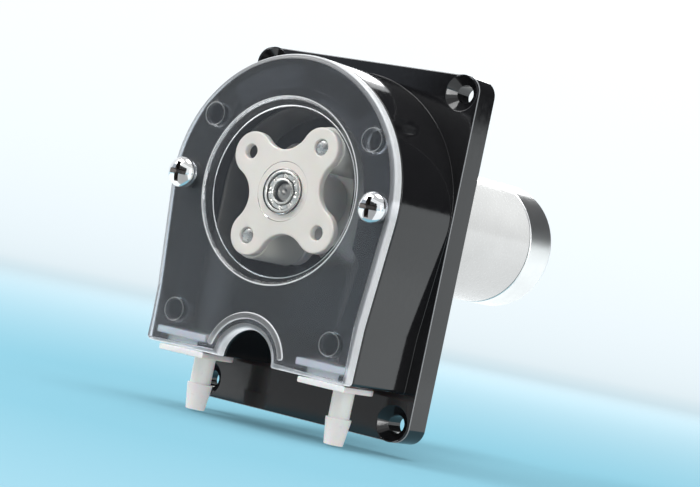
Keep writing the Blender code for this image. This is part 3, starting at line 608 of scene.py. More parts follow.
def noise(tree, scale, detail, stretch=1):
    """Noise over the object's own space. scale is in features per metre."""
    place = tree.nodes.new("ShaderNodeTexCoord")
    mapping = tree.nodes.new("ShaderNodeMapping")
    mapping.inputs["Scale"].default_value = (1, stretch, 1)
    texture = tree.nodes.new("ShaderNodeTexNoise")
    set_inputs(texture, {"Scale": scale, "Detail": detail, "Roughness": 0.5})
    tree.links.new(place.outputs["Object"], mapping.inputs["Vector"])
    tree.links.new(mapping.outputs["Vector"], texture.inputs["Vector"])
    return texture.outputs["Fac"]


def ramp(tree, source, low, high, start=0.3, end=0.7):
    node = tree.nodes.new("ShaderNodeMapRange")
    set_inputs(node, {"From Min": start, "From Max": end, "To Min": low, "To Max": high})
    tree.links.new(source, node.inputs["Value"])
    return node.outputs["Result"]


def blend_colours(tree, factor, first, second):
    node = tree.nodes.new("ShaderNodeMix")
    node.data_type = "RGBA"
    node.inputs["A"].default_value = (*first, 1)
    node.inputs["B"].default_value = (*second, 1)
    tree.links.new(factor, node.inputs["Factor"])
    return node.outputs["Result"]


def bump(tree, shader, source, height):
    """Raise the surface by height millimetres where the source is 1."""
    node = tree.nodes.new("ShaderNodeBump")
    set_inputs(node, {"Strength": 1.0, "Distance": height * MM})
    tree.links.new(source, node.inputs["Height"])
    tree.links.new(node.outputs["Normal"], shader.inputs["Normal"])


def finish(name, colour, shade, rough, metallic, grain, height, stretch=1, sockets=None):
    """A surface whose colour drifts between two shades and whose gloss and relief follow a fine grain."""
    material, tree, shader = new_material(name)
    broad = noise(tree, grain / 12, 2.0)
    fine = noise(tree, grain, 4.0, stretch)
    tree.links.new(blend_colours(tree, ramp(tree, broad, 0, 1), colour, shade), shader.inputs["Base Color"])
    tree.links.new(ramp(tree, fine, *rough), shader.inputs["Roughness"])
    bump(tree, shader, fine, height)
    shader.inputs["Metallic"].default_value = metallic
    set_inputs(shader, sockets or {})
    return material


def clear_plastic(name, colour, rough, milk, grain, height):
    """Clear or frosted plastic. Lamps reach what is behind it, and milk is its share of white scatter."""
    material, tree, shader = new_material(name)
    fine = noise(tree, grain, 3.0)
    set_inputs(shader, {"Base Color": (*colour, 1), "IOR": 1.49, "Transmission Weight": 1 - milk})
    tree.links.new(ramp(tree, fine, *rough), shader.inputs["Roughness"])
    if height:
        bump(tree, shader, fine, height)
    path = tree.nodes.new("ShaderNodeLightPath")
    through = tree.nodes.new("ShaderNodeBsdfTransparent")
    through.inputs["Color"].default_value = (*colour, 1)
    mix = tree.nodes.new("ShaderNodeMixShader")
    tree.links.new(path.outputs["Is Shadow Ray"], mix.inputs["Fac"])
    tree.links.new(shader.outputs["BSDF"], mix.inputs[1])
    tree.links.new(through.outputs["BSDF"], mix.inputs[2])
    tree.links.new(mix.outputs["Shader"], tree.nodes["Material Output"].inputs["Surface"])
    return material


def make_materials():
    made = {}
    for key, *values in FINISHES:
        made[key] = finish(*values)
    for key, *values in CLEAR_PLASTICS:
        made[key] = clear_plastic(*values)
    return made


# ---- the pump head

def on_plate_edge(point):
    """True within half a millimetre of the flange plate's outline, parts of the upper holes' rims included."""
    return max(abs(point.x) - HOUSING[1].x, point.z - HOUSING[1].z, HOUSING[0].z - point.z) > -0.5 or (
        math.hypot(max(0, abs(point.x) - HOUSING[1].x + PLATE_CORNER),
                   max(0, point.z - HOUSING[1].z + PLATE_CORNER, HOUSING[0].z + PLATE_CORNER - point.z))
        > PLATE_CORNER - 0.5)


def build_housing(look):
    mesh = bmesh.new()
    plate_low, plate_high = (HOUSING[0].x, HOUSING[0].z), (HOUSING[1].x, HOUSING[1].z)
    plate = rounded_rectangle(plate_low, plate_high, PLATE_CORNER)
    front_ring, back_ring = sides(mesh, plate, edge(PLATE_FRONT, 0, PLATE_FRONT_ROUND, PLATE_BACK_ROUND))

    front_loops = [front_ring]
    back_loops = [back_ring]
    cone_depth = COUNTERSINK_RADIUS - HOLE_RADIUS
    mount_hole = [(COUNTERSINK_RADIUS + 0.2, PLATE_FRONT), (COUNTERSINK_RADIUS + 0.05, PLATE_FRONT + 0.05),
                  (COUNTERSINK_RADIUS - 0.05, PLATE_FRONT + 0.2), (HOLE_RADIUS, PLATE_FRONT + cone_depth),
                  (HOLE_RADIUS, -0.2), (HOLE_RADIUS + 0.2, 0)]
    for x in (-HOLE_X, HOLE_X):
        for z in HOLE_Z:
            mouth, end = round_wall(mesh, (x, z), mount_hole, 48)
            front_loops.append(mouth)
            back_loops.append(end)

    rings = []
    for sine, cosine in quarter(4):
        outline = head_outline(BASE_RADIUS, HEAD_FILLET * (1 - sine))
        rings.append(ring(mesh, outline, PLATE_FRONT - HEAD_FILLET * (1 - cosine)))
    for sine, cosine in quarter(3):
        outline = head_outline(RIM_RADIUS, HEAD_LIP * (cosine - 1))
        rings.append(ring(mesh, outline, RIM_FRONT + HEAD_LIP * (1 - sine)))
    band(mesh, rings)
    front_loops.append(rings[0])
    flat(mesh, front_loops)

    chamber = [(0.3, RIM_FRONT), (0.1, RIM_FRONT + 0.1), (0, RIM_FRONT + 0.3), (0, PLATE_FRONT)]
    mouth, floor = sides(mesh, chamber_outline(), chamber)
    rim_loops = [rings[-1], mouth]
    for side in (-1, 1):
        screw_hole = circle((side * SCREW_X, 0), SCREW_BORE, 32)
        rim_loops.append(pit(mesh, screw_hole, RIM_FRONT, RIM_FRONT + SCREW_PIT_DEPTH))
        pocket = sector(*CROWN_POCKET, *CROWN_POCKET_SPAN)
        if side < 0:
            pocket = [(-x, z) for x, z in reversed(pocket)]
        rim_loops.append(pit(mesh, pocket, RIM_FRONT, CROWN_POCKET_FLOOR))
        for z in PEG_Z:
            peg_hole = circle((side * PEG_X, z), PEG_RADIUS + 0.3, 32)
            rim_loops.append(pit(mesh, peg_hole, RIM_FRONT, RIM_FRONT + PEG_PIT_DEPTH))
    flat(mesh, rim_loops)

    floor_loops = [floor]
    recess_loops = []
    shaft_hole = [(SHAFT_HOLE, PLATE_FRONT), (SHAFT_HOLE, RECESS_FLOOR)]
    seat = PLATE_FRONT + GEARBOX_SCREW_SEAT_DEPTH
    screw_hole = [(GEARBOX_SCREW_SEAT, PLATE_FRONT), (GEARBOX_SCREW_SEAT, seat), (GEARBOX_SCREW_HOLE, seat),
                  (GEARBOX_SCREW_HOLE, RECESS_FLOOR)]
    holes = [((0, 0), shaft_hole, 48)]
    holes += [(on_circle(GEARBOX_SCREW_ORBIT, turn), screw_hole, 32) for turn in GEARBOX_SCREW_TURNS]
    for centre, profile, steps in holes:
        mouth, end = round_wall(mesh, centre, profile, steps)
        floor_loops.append(mouth)
        recess_loops.append(end)
    flat(mesh, floor_loops)

    recess = [(RECESS_RADIUS, RECESS_FLOOR), (RECESS_RADIUS, -0.25), (RECESS_RADIUS + 0.25, 0)]
    ceiling, mouth = round_wall(mesh, (0, 0), recess, 96)
    flat(mesh, [ceiling] + recess_loops)
    flat(mesh, back_loops + [mouth])
    # Faces of the front rounding along the plate's outline take the lighter grey, a painted glint where the
    # edge would catch the light.
    for face in mesh.faces:
        middle = face.calc_center_median()
        in_rounding = PLATE_FRONT + 0.01 < middle.y < PLATE_FRONT + PLATE_FRONT_ROUND
        if in_rounding and len(face.verts) == 4 and on_plate_edge(middle):
            face.material_index = 1
    housing = piece("housing", mesh, [look["black_plastic"], look["black_painted_glint"]], "pump_body",
                    ["pump_housing"])

    for side in (-1, 1):
        slot = bmesh.new()
        rings = [[slot.verts.new((side * CONNECTOR_X + x, y, z))
                  for x, y in u_outline(TUBE_SLOT_HALF, RIM_FRONT - 3, 24)]
                 for z in (HEAD_BOTTOM - 1, HEAD_BOTTOM + WALL + 1)]
        carve(housing, closed(slot, rings))


def rib(mesh, side_slot, crest_slot):
    """Low half-round rib above the finger notch, filled. Returns its foot."""
    inner, outer = (NOTCH_WALL + NOTCH_RADIUS + gap for gap in RIB_GAPS)
    steps = 40
    path = [(x, z + HEAD_BOTTOM) for x, z in arc((0, 0), outer, RIB_START, 180 - RIB_START, steps)]
    path += [(x, z + HEAD_BOTTOM) for x, z in arc((0, 0), inner, 180 - RIB_START, RIB_START, steps)]
    path = blunt(path, {0: 0.5, steps: 0.5, steps + 1: 0.5, -1: 0.5})
    profile = [(0, COVER_FRONT), (-0.1, COVER_FRONT - 0.2), (-0.25, COVER_FRONT - 0.3)]
    foot, crest = sides(mesh, path, profile, side_slot)
    flat(mesh, [crest], crest_slot)
    return foot


def build_cover(look):
    # Slot rim is the whiter, milkier acrylic on the cover's sides and back edge, the window and lens steps and
    # the rib's sides: painted highlights along those edges.
    frost, clear, rim, mist = 0, 1, 2, 3
    mesh = bmesh.new()
    rings = []
    for sine, cosine in quarter(6):
        outline = head_outline(RIM_RADIUS, COVER_ROUND * (sine - 1))
        rings.append(ring(mesh, outline, COVER_FRONT + COVER_ROUND * (1 - cosine)))
    rings.append(ring(mesh, head_outline(RIM_RADIUS, 0), COVER_BACK - 0.2))
    rings.append(ring(mesh, head_outline(RIM_RADIUS, -0.2), COVER_BACK))
    band(mesh, rings[:4], mist)
    band(mesh, rings[3:], rim)
    front_loops = [rings[0]]
    back_loops = [rings[-1]]

    window = [(WINDOW_RADIUS + 0.25, COVER_FRONT, frost), (WINDOW_RADIUS + 0.15, COVER_FRONT - 0.06, rim),
              (WINDOW_RADIUS - 0.12, COVER_FRONT - 0.06, rim), (WINDOW_RADIUS - 0.2, COVER_FRONT, clear),
              (WINDOW_RADIUS - 0.55, WINDOW_FRONT - 0.05, clear), (WINDOW_RADIUS - 0.7, WINDOW_FRONT, clear)]
    outside, inside = stepped_wall(mesh, window)
    front_loops.append(outside)
    flat(mesh, [inside], clear)

    lens = [(LENS_RADIUS + 0.35, COVER_BACK, clear), (LENS_RADIUS + 0.2, COVER_BACK - 0.04, rim),
            (LENS_RADIUS, LENS_BACK + 0.2, clear), (LENS_RADIUS - 0.15, LENS_BACK + 0.04, clear),
            (LENS_RADIUS - 0.3, LENS_BACK, clear)]
    outside, inside = stepped_wall(mesh, lens)
    back_loops.append(outside)
    boss = [(BOSS_RADIUS + 0.1, LENS_BACK), (BOSS_RADIUS, BOSS_BACK), (SEAT_RADIUS + 0.1, BOSS_BACK),
            (SEAT_RADIUS, BOSS_BACK - 0.1), (SEAT_RADIUS, SEAT_FLOOR)]
    foot, floor = round_wall(mesh, (0, 0), boss, 96, clear)
    flat(mesh, [inside, foot], clear)
    flat(mesh, [floor], clear)

    front, back = COVER[0].y, COVER[1].y
    collar = [(COLLAR_RADIUS + 0.3, COVER_FRONT), (COLLAR_RADIUS, COVER_FRONT - 0.3),
              (COLLAR_RADIUS, front + 0.15), (COLLAR_RADIUS - 0.15, front), (SCREW_BORE + 0.1, front),
              (SCREW_BORE, front + 0.1), (SCREW_BORE, COVER_BACK)]
    mark = [(PEG_RADIUS + 0.16, COVER_FRONT), (PEG_RADIUS + 0.1, COVER_FRONT - 0.05),
            (PEG_RADIUS - 0.04, COVER_FRONT - 0.05), (PEG_RADIUS - 0.1, COVER_FRONT)]
    peg = [(PEG_RADIUS + 0.15, COVER_BACK), (PEG_RADIUS, COVER_BACK + 0.15), (PEG_RADIUS, back - 0.25),
           (PEG_RADIUS - 0.25, back)]
    for side in (-1, 1):
        outside, inside = round_wall(mesh, (side * SCREW_X, 0), collar, 48, frost)
        front_loops.append(outside)
        back_loops.append(inside)
        for z in PEG_Z:
            for profile, slot, loops in ((mark, mist, front_loops), (peg, frost, back_loops)):
                foot, end = round_wall(mesh, (side * PEG_X, z), profile, 48, slot)
                flat(mesh, [end], frost)
                loops.append(foot)
    front_loops.append(rib(mesh, rim, mist))
    flat(mesh, front_loops, frost)
    flat(mesh, back_loops, frost)
    looks = [look["frosted"], look["window"], look["cover_edge_painted_highlight"], look["cover_mist"]]
    piece("cover", mesh, looks, "pump_body", ["front_cover"])


def build_cover_screws(look):
    low, high = SCREW
    head_radius = (high.x - low.x) / 2
    crown = low.y
    base = crown + SCREW_HEAD_DEPTH
    tip = high.y
    dome = []
    for i in range(13):
        angle = math.radians(88) * i / 12
        dome.append((head_radius * math.sin(angle) ** 0.9, crown + SCREW_DOME * (1 - math.cos(angle) ** 1.1)))
    dome[0] = (0, crown)
    profile = dome + [(head_radius, base - 0.3), (head_radius - 0.25, base), (THREAD_CREST, base)]
    y = base + 0.6
    while y < tip - 2.5:
        profile += [(THREAD_CORE, y), (THREAD_CREST, y + THREAD_PITCH / 2)]
        y += THREAD_PITCH
    profile += [(THREAD_CORE, tip - 1.8), (0, tip)]
    for name, side in SIDES:
        centre = (side * SCREW_X, 0)
        screw = piece("screw_" + name, turned(profile, 72, centre), [look["chrome_steel"]], "pump_body",
                      ["cover_screw_" + name])
        for length, width in CROSS_ARMS:
            cross = bmesh.new()
            rings = []
            for y, share in ((crown - 0.6, 1.1), (crown + 0.5, 0.95), (crown + 1.6, 0.55)):
                across, down = (max(0.3, half * share) for half in (length, width))
                rings.append([cross.verts.new((centre[0] + sx * across, y, sz * down))
                              for sx, sz in ((-1, -1), (1, -1), (1, 1), (-1, 1))])
            carve(screw, closed(cross, rings))
        # Faces inside the cross recess take the dark steel, painted shade where the recess is in shadow.
        screw.data.materials.append(look["recess_steel_painted_shade"])
        for face in screw.data.polygons:
            middle = face.center / MM
            radius = math.hypot(middle.x - centre[0], middle.z)
            surface = crown + SCREW_DOME * (1 - math.sqrt(max(0.0, 1 - (radius / head_radius) ** 2)))
            if radius < 2.8 and surface + 0.2 < middle.y < base - 0.3:
                face.material_index = 1


def flange_steps(half, bottom, top):
    """(half width, inset from the front, z) steps up a flange with rounded edges."""
    steps = [(half - inset, inset, bottom + rise) for inset, rise in FLANGE_ROUND]
    return steps + [(half - inset, inset, top - rise) for inset, rise in reversed(FLANGE_ROUND)]


def build_connectors(look):
    front, tip, top = CONNECTOR[0].y, CONNECTOR[0].z, CONNECTOR[1].z
    outer_bottom, outer_top = OUTER_FLANGE[1:]
    inner_bottom, inner_top = INNER_FLANGE[1:]
    neck = [(NECK_HALF, NECK_INSET, outer_top), (NECK_HALF, NECK_INSET, inner_bottom)]
    steps = flange_steps(*OUTER_FLANGE) + neck + flange_steps(*INNER_FLANGE)
    stem = [(2.75, outer_bottom), (2.55, outer_bottom - 0.2), (2.5, BARB_Z), (2.95, BARB_Z),
            (3.05, BARB_Z - 0.1), (3.05, BARB_Z - 0.3), (2.3, tip + 0.15), (2.15, tip), (1.55, tip),
            (1.4, tip + 0.15), (1.4, top - 0.1), (1.5, top), (2.0, top), (2.15, top - 0.15),
            (2.15, inner_top)]
    for name, side in SIDES:
        mesh = bmesh.new()
        shift = side * CONNECTOR_X
        rings = [[mesh.verts.new((shift + x, y, z)) for x, y in u_outline(half, front + inset)]
                 for half, inset, z in steps]
        band(mesh, rings)
        barrel = [[mesh.verts.new((shift + x, y, z)) for x, y in circle((0, TUBE_Y), radius, 56)]
                  for radius, z in stem]
        band(mesh, barrel)
        flat(mesh, [rings[0], barrel[0]])
        flat(mesh, [rings[-1], barrel[-1]])
        piece("connector_" + name, mesh, [look["natural_plastic"]], "pump_body",
              ["tube_connector_" + name])


def build_tube(look):
    """The tube hangs in two round legs and lies squeezed along the track. Squeeze goes from 0 to 1."""
    leg = [(TUBE[0].z, 0.0), (-30.0, 0.0), (-24.0, 0.0), (-18.0, 0.0), (-15.5, 0.0), (-14.6, 0.03),
           (-13.8, 0.12), (-13.2, 0.29), (-12.6, 0.5), (-12.0, 0.71), (-11.4, 0.88), (-10.8, 0.97),
           (-10.2, 1.0), (-6, 1.0), (-3, 1.0)]
    stations = [((TUBE_TRACK, z), (1.0, 0.0), squeeze) for z, squeeze in leg]
    for centre in arc((0, 0), TUBE_TRACK, 0, 180, 72):
        stations.append((centre, (centre[0] / TUBE_TRACK, centre[1] / TUBE_TRACK), 1.0))
    stations += [((-TUBE_TRACK, z), (-1.0, 0.0), squeeze) for z, squeeze in reversed(leg)]
    mesh = bmesh.new()
    loops = []
    for round_radius, flattened in ((TUBE_RADIUS, FLAT_TUBE), (TUBE_BORE, FLAT_BORE)):
        rings = []
        for (x, z), (out_x, out_z), squeeze in stations:
            thick = round_radius + (flattened[0] - round_radius) * squeeze
            wide = round_radius + (flattened[1] - round_radius) * squeeze
            section = []
            for i in range(32):
                angle = 2 * math.pi * i / 32
                reach = thick * math.cos(angle)
                y = TUBE_Y + wide * math.sin(angle)
                section.append(mesh.verts.new((x + out_x * reach, y, z + out_z * reach)))
            rings.append(section)
        loops.append(rings)
    chain = loops[0] + loops[1][::-1]
    band(mesh, chain + chain[:1])
    piece("tube", mesh, [look["tube_rubber"]], "pump_body", ["pump_tube"], weighted=False)


# ---- the rotor

def build_rotor(look):
    outline = rotor_outline()
    holes = [on_circle(PIN_PITCH, ROTOR_TURN + 90 * i) for i in range(4)]
    bores = [PIN_BORE, SPARE_BORE, PIN_BORE, SPARE_BORE]
    front, back = FRONT_PLATE[0].y, FRONT_PLATE[0].y + PLATE_THICKNESS
    hub_end = FRONT_PLATE[1].y

    mesh = bmesh.new()
    front_ring, back_ring = sides(mesh, outline, edge(front, back, 0.4, 0.25))
    front_loops, back_loops = [front_ring], [back_ring]
    hole = [(0.25, front), (0.08, front + 0.08), (0, front + 0.25), (0, back - 0.15), (0.15, back)]
    for centre, bore in zip(holes, bores):
        mouth, end = sides(mesh, circle(centre, bore, 48), hole)
        front_loops.append(mouth)
        back_loops.append(end)
    seat = OUTER_RACE[1].y + 0.4
    middle = [(SEAT_RADIUS + 0.3, front), (SEAT_RADIUS + 0.1, front + 0.2), (SEAT_RADIUS + 0.1, seat),
              (SHAFT_BORE, seat), (SHAFT_BORE, hub_end), (HUB_RADIUS - 0.3, hub_end),
              (HUB_RADIUS, hub_end - 0.3), (HUB_RADIUS, back + 0.3), (HUB_RADIUS + 0.3, back)]
    mouth, end = round_wall(mesh, (0, 0), middle, 96)
    front_loops.append(mouth)
    back_loops.append(end)
    flat(mesh, front_loops)
    flat(mesh, back_loops)
    piece("rotor_front", mesh, [look["ivory_plastic"]], "rotor", ["rotor_front_plate"])

    mesh = bmesh.new()
    front, back = REAR_PLATE[0].y, REAR_PLATE[1].y
    front_ring, back_ring = sides(mesh, outline, edge(front, back, 0.3, 0.3))
    front_loops, back_loops = [front_ring], [back_ring]
    hole = [(0.15, front), (0, front + 0.15), (0, back - 0.15), (0.15, back)]
    for centre, radius in list(zip(holes, bores)) + [((0, 0), SHAFT_BORE)]:
        mouth, end = sides(mesh, circle(centre, radius, 48), hole)
        front_loops.append(mouth)
        back_loops.append(end)
    flat(mesh, front_loops)
    flat(mesh, back_loops)
    piece("rotor_rear", mesh, [look["ivory_plastic"]], "rotor", ["rotor_rear_plate"])

    low, high = ROLLER[0].y, ROLLER[1].y
    radius = (ROLLER[1].x - ROLLER[0].x) / 2
    sleeve = [(PIN_BORE, low + 0.1), (PIN_BORE + 0.1, low), (radius - 0.5, low), (radius - 0.15, low + 0.15),
              (radius, low + 0.5), (radius, high - 0.5), (radius - 0.15, high - 0.15), (radius - 0.5, high),
              (PIN_BORE + 0.1, high), (PIN_BORE, high - 0.1)]
    pin_radius = (PIN[1].x - PIN[0].x) / 2
    start, end = PIN[0].y, PIN[1].y
    pin = [(0, start), (pin_radius - 0.3, start), (pin_radius - 0.1, start + 0.08), (pin_radius, start + 0.3),
           (pin_radius, end - 0.25), (pin_radius - 0.25, end), (0, end)]
    for name, centre in (("upper", holes[0]), ("lower", holes[2])):
        piece("roller_sleeve_" + name, turned(sleeve, 80, centre), [look["roller_plastic"]], "roller_" + name,
              ["roller_" + name])
        piece("pin_" + name, turned(pin, 56, centre), [look["ground_steel"]], "rotor",
              ["roller_pin_" + name])


def build_bearing(look):
    front, back = OUTER_RACE[0].y, OUTER_RACE[1].y
    outer, inner = OUTER_RACE[1].x, INNER_RACE[1].x
    races = (("race_outer", OUTER_RACE_BORE, outer, "pump_body", "bearing_outer_race"),
             ("race_inner", INNER_RACE_BORE, inner, "rotor", "bearing_inner_race"))
    for name, bore, outside, body, node in races:
        profile = [(bore + 0.1, front), (outside - RACE_CHAMFER, front), (outside - 0.06, front + 0.06),
                   (outside, front + RACE_CHAMFER), (outside, back - RACE_CHAMFER),
                   (outside - RACE_CHAMFER, back), (bore + 0.1, back), (bore, back - 0.1),
                   (bore, front + 0.1)]
        piece(name, turned(profile, 96), [look["bearing_steel"]], body, [node])
    cage = bmesh.new()
    wave = []
    for i in range(BALL_COUNT * 12):
        pocket = max(0.0, math.cos(2 * math.pi * i / 12)) ** 2
        wave.append((front + 0.55 + 0.75 * pocket, 2 * math.pi * i / (BALL_COUNT * 12)))
    inside, outside = CAGE_PITCH - CAGE_HALF, CAGE_PITCH + CAGE_HALF
    edges = ((inside, 0), (outside, 0), (outside, CAGE_DEPTH), (inside, CAGE_DEPTH))
    loops = [[cage.verts.new((radius * math.cos(a), y + deep, radius * math.sin(a))) for y, a in wave]
             for radius, deep in edges]
    band(cage, loops + loops[:1])
    for i in range(BALL_COUNT):
        x, z = on_circle(CAGE_PITCH, 360 * i / BALL_COUNT)
        place = Matrix.Translation((x, front + 1.05, z))
        bmesh.ops.create_uvsphere(cage, u_segments=24, v_segments=16, radius=BALL_RADIUS, matrix=place)
    piece("cage", cage, [look["bearing_steel"]], "ball_cage", ["bearing_ball_cage"],
          weighted=False)


def build_output_shaft(look):
    start = SHAFT[0].y
    shoulder = OUTER_RACE[1].y + 0.6
    end = SHAFT[1].y
    carrier_radius = SHAFT[1].x
    profile = [(0, start + 0.9), (0.55, start + 0.35), (0.8, start), (1.8, start), (1.9, start + 0.05),
               (2.3, start + 0.5), (2.3, shoulder), (2.8, shoulder), (3.0, shoulder + 0.2),
               (3.0, CARRIER_FRONT), (carrier_radius - 0.2, CARRIER_FRONT),
               (carrier_radius, CARRIER_FRONT + 0.2), (carrier_radius, end - 0.2),
               (carrier_radius - 0.2, end), (0, end)]
    shaft = piece("shaft", turned(profile, 80), [look["shaft_steel"]], "rotor",
                  ["output_shaft"])
    flat_cut = bmesh.new()
    rings = [[flat_cut.verts.new((x, y, z)) for x, z in ((2.5, -4), (4, -4), (4, 4), (2.5, 4))]
             for y in (shoulder - 1, REAR_PLATE[1].y)]
    carve(shaft, closed(flat_cut, rings))
    for turn in PLANET_TURNS:
        carve(shaft, drill(PLANET_PIN_HOLE, 4, 10, on_circle(PLANET_ORBIT, turn)))


# ---- the gearbox and motor

def build_gearbox(look):
    radius = GEARBOX[1].x
    front, rear = GEARBOX[0].y, GEARBOX[1].y
    floor, ceiling = GEARBOX_INSIDE
    profile = [(BUSH_HOLE, front), (radius, front), (radius, rear), (GEAR_WALL, rear), (GEAR_WALL, floor),
               (8, floor), (8, ceiling), (BUSH_HOLE, ceiling)]
    gearbox = piece("gearbox", turned(softened(profile, 0.4), 144), [look["white_plastic"]], "pump_body",
                    ["gearbox_housing"])
    for turn in GEARBOX_SCREW_TURNS:
        carve(gearbox, drill(GEARBOX_SCREW_HOLE, front - 1, 0.4, on_circle(GEARBOX_SCREW_ORBIT, turn)))

    low, high = END_PLATE[0].y, END_PLATE[1].y
    profile = [(4, low), (radius, low), (radius, high), (4, high)]
    plate = piece("end_plate", turned(softened(profile), 144), [look["ground_steel"]], "pump_body",
                  ["gearbox_end_plate"])
    seat = [(0, low - 1), (MOTOR_SCREW_SEAT, low - 1), (MOTOR_SCREW_SEAT, low + 1.6),
            (MOTOR_SCREW_HOLE, low + 1.6), (MOTOR_SCREW_HOLE, high + 1), (0, high + 1)]
    for side in (-1, 1):
        carve(plate, turned(seat, 40, (side * MOTOR_SCREW_X, 0)))


def build_can(look):
    radius = GEARBOX[1].x
    front, rear = CAN[0].y, CAN[1].y
    profile = [(MOTOR_BUSH_HOLE, front), (radius, front), (radius, rear), (CAN_BORE, rear),
               (CAN_BORE, front + 1.5), (MOTOR_BUSH_HOLE, front + 1.5)]
    can = piece("can", turned(softened(profile, 0.6, 4), 144), [look["white_paint"]], "pump_body",
                ["motor_can"])
    for side in (-1, 1):
        carve(can, drill(MOTOR_SCREW_HOLE, front - 1, front + 3, (side * MOTOR_SCREW_X, 0)))


def build_rear_cap(look):
    """Drawn steel cap with a round corner, a raised boss for the bush and an opening for each terminal."""
    radius = GEARBOX[1].x
    start, tip = CAP[0].y, CAP[1].y
    end = tip - CAP_BOSS_LENGTH
    inner_end = end - CAP_WALL
    mesh = bmesh.new()
    outer = [(CAN_BORE, start), (radius - 0.15, start), (radius, start + 0.15)]
    outer += [(radius - CAP_CORNER + x, end - CAP_CORNER + y) for x, y in arc((0, 0), CAP_CORNER, 0, 90, 12)]
    rings = [ring(mesh, circle((0, 0), r, 144), y) for r, y in outer]
    inner = [(CAN_BORE, end - 3.8), (12.3, inner_end)]
    inside = [rings[0]] + [ring(mesh, circle((0, 0), r, 144), y) for r, y in inner]
    band(mesh, rings)
    band(mesh, inside)
    boss = [(CAP_BOSS + 0.4, end), (CAP_BOSS + 0.1, end + 0.1), (CAP_BOSS, end + 0.4), (CAP_BOSS, tip - 0.35),
            (CAP_BOSS - 0.35, tip), (MOTOR_BUSH_HOLE + 0.2, tip), (MOTOR_BUSH_HOLE, tip - 0.2),
            (MOTOR_BUSH_HOLE, inner_end)]
    foot, bore = round_wall(mesh, (0, 0), boss, 72)
    rear_loops, inner_loops = [rings[-1], foot], [inside[-1], bore]
    for side in (-1, 1):
        centre = side * TERMINAL_X
        opening = rounded_rectangle((centre - 2.2, -1.1), (centre + 2.2, 1.1), 0.5, 5)
        mouth, back = sides(mesh, opening, [(0.15, end), (0, end - 0.15), (0, inner_end)])
        rear_loops.append(mouth)
        inner_loops.append(back)
    flat(mesh, rear_loops)
    flat(mesh, inner_loops)
    piece("rear_cap", mesh, [look["satin_steel"]], "pump_body", ["motor_rear_cap"])


def build_terminals(look):
    start, tip = TERMINAL[0].y, TERMINAL[1].y
    half = 1.4
    for name, side in SIDES:
        centre = side * TERMINAL_X
        blade = [(centre - half, start), (centre + half, start), (centre + half, tip - 1),
                 (centre + 0.7, tip), (centre - 0.7, tip), (centre - half, tip - 1)]
        hole = circle((centre, tip - 2.2), 0.55, 24)
        mesh = bmesh.new()
        loops = []
        for outline, outward in ((blade, -1), (hole, 1)):
            layers = []
            for growth, z in ((0.08, -0.3), (0, -0.22), (0, 0.22), (0.08, 0.3)):
                layers.append([mesh.verts.new((x, y, z)) for x, y in grown(outline, outward * growth)])
            band(mesh, layers)
            loops.append(layers)
        for k in (0, -1):
            flat(mesh, [loops[0][k], loops[1][k]])
        piece("terminal_" + name, mesh, [look["brass"]], "pump_body", ["motor_terminal_" + name])


# ---- hidden pieces keep their CAD shape

def dress_hidden_pieces(look):
    slots = {entry["node"]: entry["material_slot"] for entry in frame["record"]["subparts"]}
    for name, node in frame["nodes"].items():
        if node.hide_render:
            continue
        node.data.materials.clear()
        node.data.materials.append(look[slots[name]])
        smooth(node.data, 30)


# ---- stage, lights and camera

def build_stage():
    """A matte floor, blue near the pump and white further out, that rises smoothly into a round wall."""
    profile = [(0, FLOOR_Z), (150, FLOOR_Z), (400, FLOOR_Z), (800, FLOOR_Z), (FLOOR_RADIUS, FLOOR_Z)]
    for i in range(1, 25):
        angle = math.radians(90 * i / 24)
        out, up = FLOOR_SWEEP * math.sin(angle), FLOOR_SWEEP * (1 - math.cos(angle))
        profile.append((FLOOR_RADIUS + out, FLOOR_Z + up))
    profile.append((FLOOR_RADIUS + FLOOR_SWEEP, WALL_TOP))
    mesh = bmesh.new()
    rings = [[mesh.verts.new((0, 0, FLOOR_Z))]]
    for radius, z in profile[1:]:
        rings.append([mesh.verts.new((x, y, z)) for x, y in circle((0, 0), radius, 128)])
    for i in range(128):
        j = (i + 1) % 128
        mesh.faces.new((rings[0][0], rings[1][i], rings[1][j]))
    band(mesh, rings[1:])
    floor = solid("studio_floor", mesh)
    floor.data.shade_smooth()
    floor.visible_diffuse = False

    material, tree, shader = new_material("pale_floor")
    place = tree.nodes.new("ShaderNodeTexCoord")
    reach = tree.nodes.new("ShaderNodeVectorMath")
    reach.operation = "LENGTH"
    tree.links.new(place.outputs["Object"], reach.inputs[0])
    away = ramp(tree, reach.outputs["Value"], 0, 1, 0.12, 2.5)
    colour = blend_colours(tree, away, (0.16, 0.335, 0.41), (0.95, 0.965, 0.975))
    tree.links.new(colour, shader.inputs["Base Color"])
    tree.links.new(colour, shader.inputs["Emission Color"])
    set_inputs(shader, {"Emission Strength": FLOOR_GLOW, "Specular IOR Level": 0, "Roughness": 0.9})
    floor.data.materials.append(material)


def build_cards():
    """Dark flags and glowing cards round the pump that only shape the gloss on it."""
    black, _, paint = new_material("flag_cloth")
    set_inputs(paint, {"Base Color": (0.02, 0.02, 0.022, 1), "Roughness": 0.9})
    for name, low_turn, high_turn, profile in FLAGS:
        build_card(name, low_turn, high_turn, profile, black)
    for name, low_turn, high_turn, profile, colour, strength in CARDS:
        white, _, glow = new_material(name)
        set_inputs(glow, {"Base Color": (0.02, 0.02, 0.02, 1), "Emission Color": (*colour, 1),
                          "Emission Strength": strength})
        build_card(name, low_turn, high_turn, profile, white)


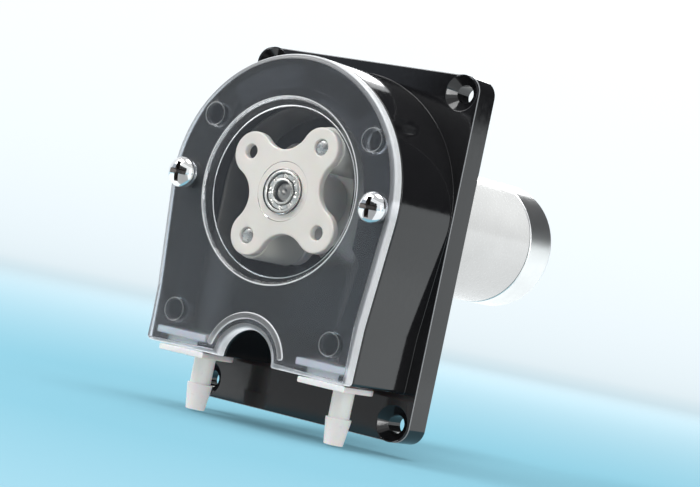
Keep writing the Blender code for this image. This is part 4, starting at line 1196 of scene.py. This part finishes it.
def build_card(name, low_turn, high_turn, profile, material):
    """A bent card that only shows in reflections. profile is its (distance, height) line in metres."""
    cloth = bmesh.new()
    columns = []
    for i in range(CARD_STEPS + 1):
        turn = math.radians(low_turn + (high_turn - low_turn) * i / CARD_STEPS)
        columns.append([cloth.verts.new((reach * math.sin(turn), -reach * math.cos(turn), z))
                        for reach, z in profile])
    for first, second in zip(columns, columns[1:]):
        for k in range(len(profile) - 1):
            cloth.faces.new((first[k], second[k], second[k + 1], first[k + 1]))
    data = bpy.data.meshes.new(name)
    cloth.to_mesh(data)
    cloth.free()
    data.materials.append(material)
    card = add_object(name, data)
    card.visible_camera = False
    card.visible_shadow = False
    card.visible_diffuse = False


def add_softbox(name, location, size, power):
    """A rectangular lamp that faces the pump."""
    light = bpy.data.lights.new(name, "AREA")
    light.shape = "RECTANGLE"
    light.size, light.size_y = size
    light.energy = power
    item = add_object(name, light)
    item.location = Vector(location)
    item.rotation_euler = (-item.location).to_track_quat("-Z", "Y").to_euler()
    item.visible_camera = False


def build_lights():
    for softbox in SOFTBOXES:
        add_softbox(*softbox)
    world = bpy.data.worlds.new("studio_air")
    world.use_nodes = True
    sky = world.node_tree.nodes["Background"]
    set_inputs(sky, {"Color": (0.98, 0.99, 1.0, 1), "Strength": 0.72})
    bpy.context.scene.world = world


def build_camera():
    """A long lens to the right of the head and level with it, rolled so that the pump leans right."""
    azimuth, elevation, roll = (math.radians(v) for v in (35.046, -0.8, 11.87))
    target = Vector((14.73, -20.0, -8.58)) * MM
    distance = 582.5 * MM
    back = Vector((math.sin(azimuth) * math.cos(elevation), -math.cos(azimuth) * math.cos(elevation),
                   math.sin(elevation)))
    data = bpy.data.cameras.new("camera")
    data.sensor_width = 36
    data.lens = 129.7
    data.clip_start, data.clip_end = 0.05, 20
    camera = add_object("camera", data)
    turn = (-back).to_track_quat("-Z", "Y").to_matrix().to_4x4()
    camera.matrix_world = Matrix.Translation(target + back * distance) @ turn @ Matrix.Rotation(roll, 4, "Z")
    bpy.context.scene.camera = camera
    bpy.context.scene.view_settings.view_transform = "Standard"


looks = make_materials()
build_camera()
build_housing(looks)
build_cover(looks)
build_cover_screws(looks)
build_connectors(looks)
build_tube(looks)
build_rotor(looks)
build_bearing(looks)
build_output_shaft(looks)
build_gearbox(looks)
build_can(looks)
build_rear_cap(looks)
build_terminals(looks)
dress_hidden_pieces(looks)
build_stage()
build_cards()
build_lights()
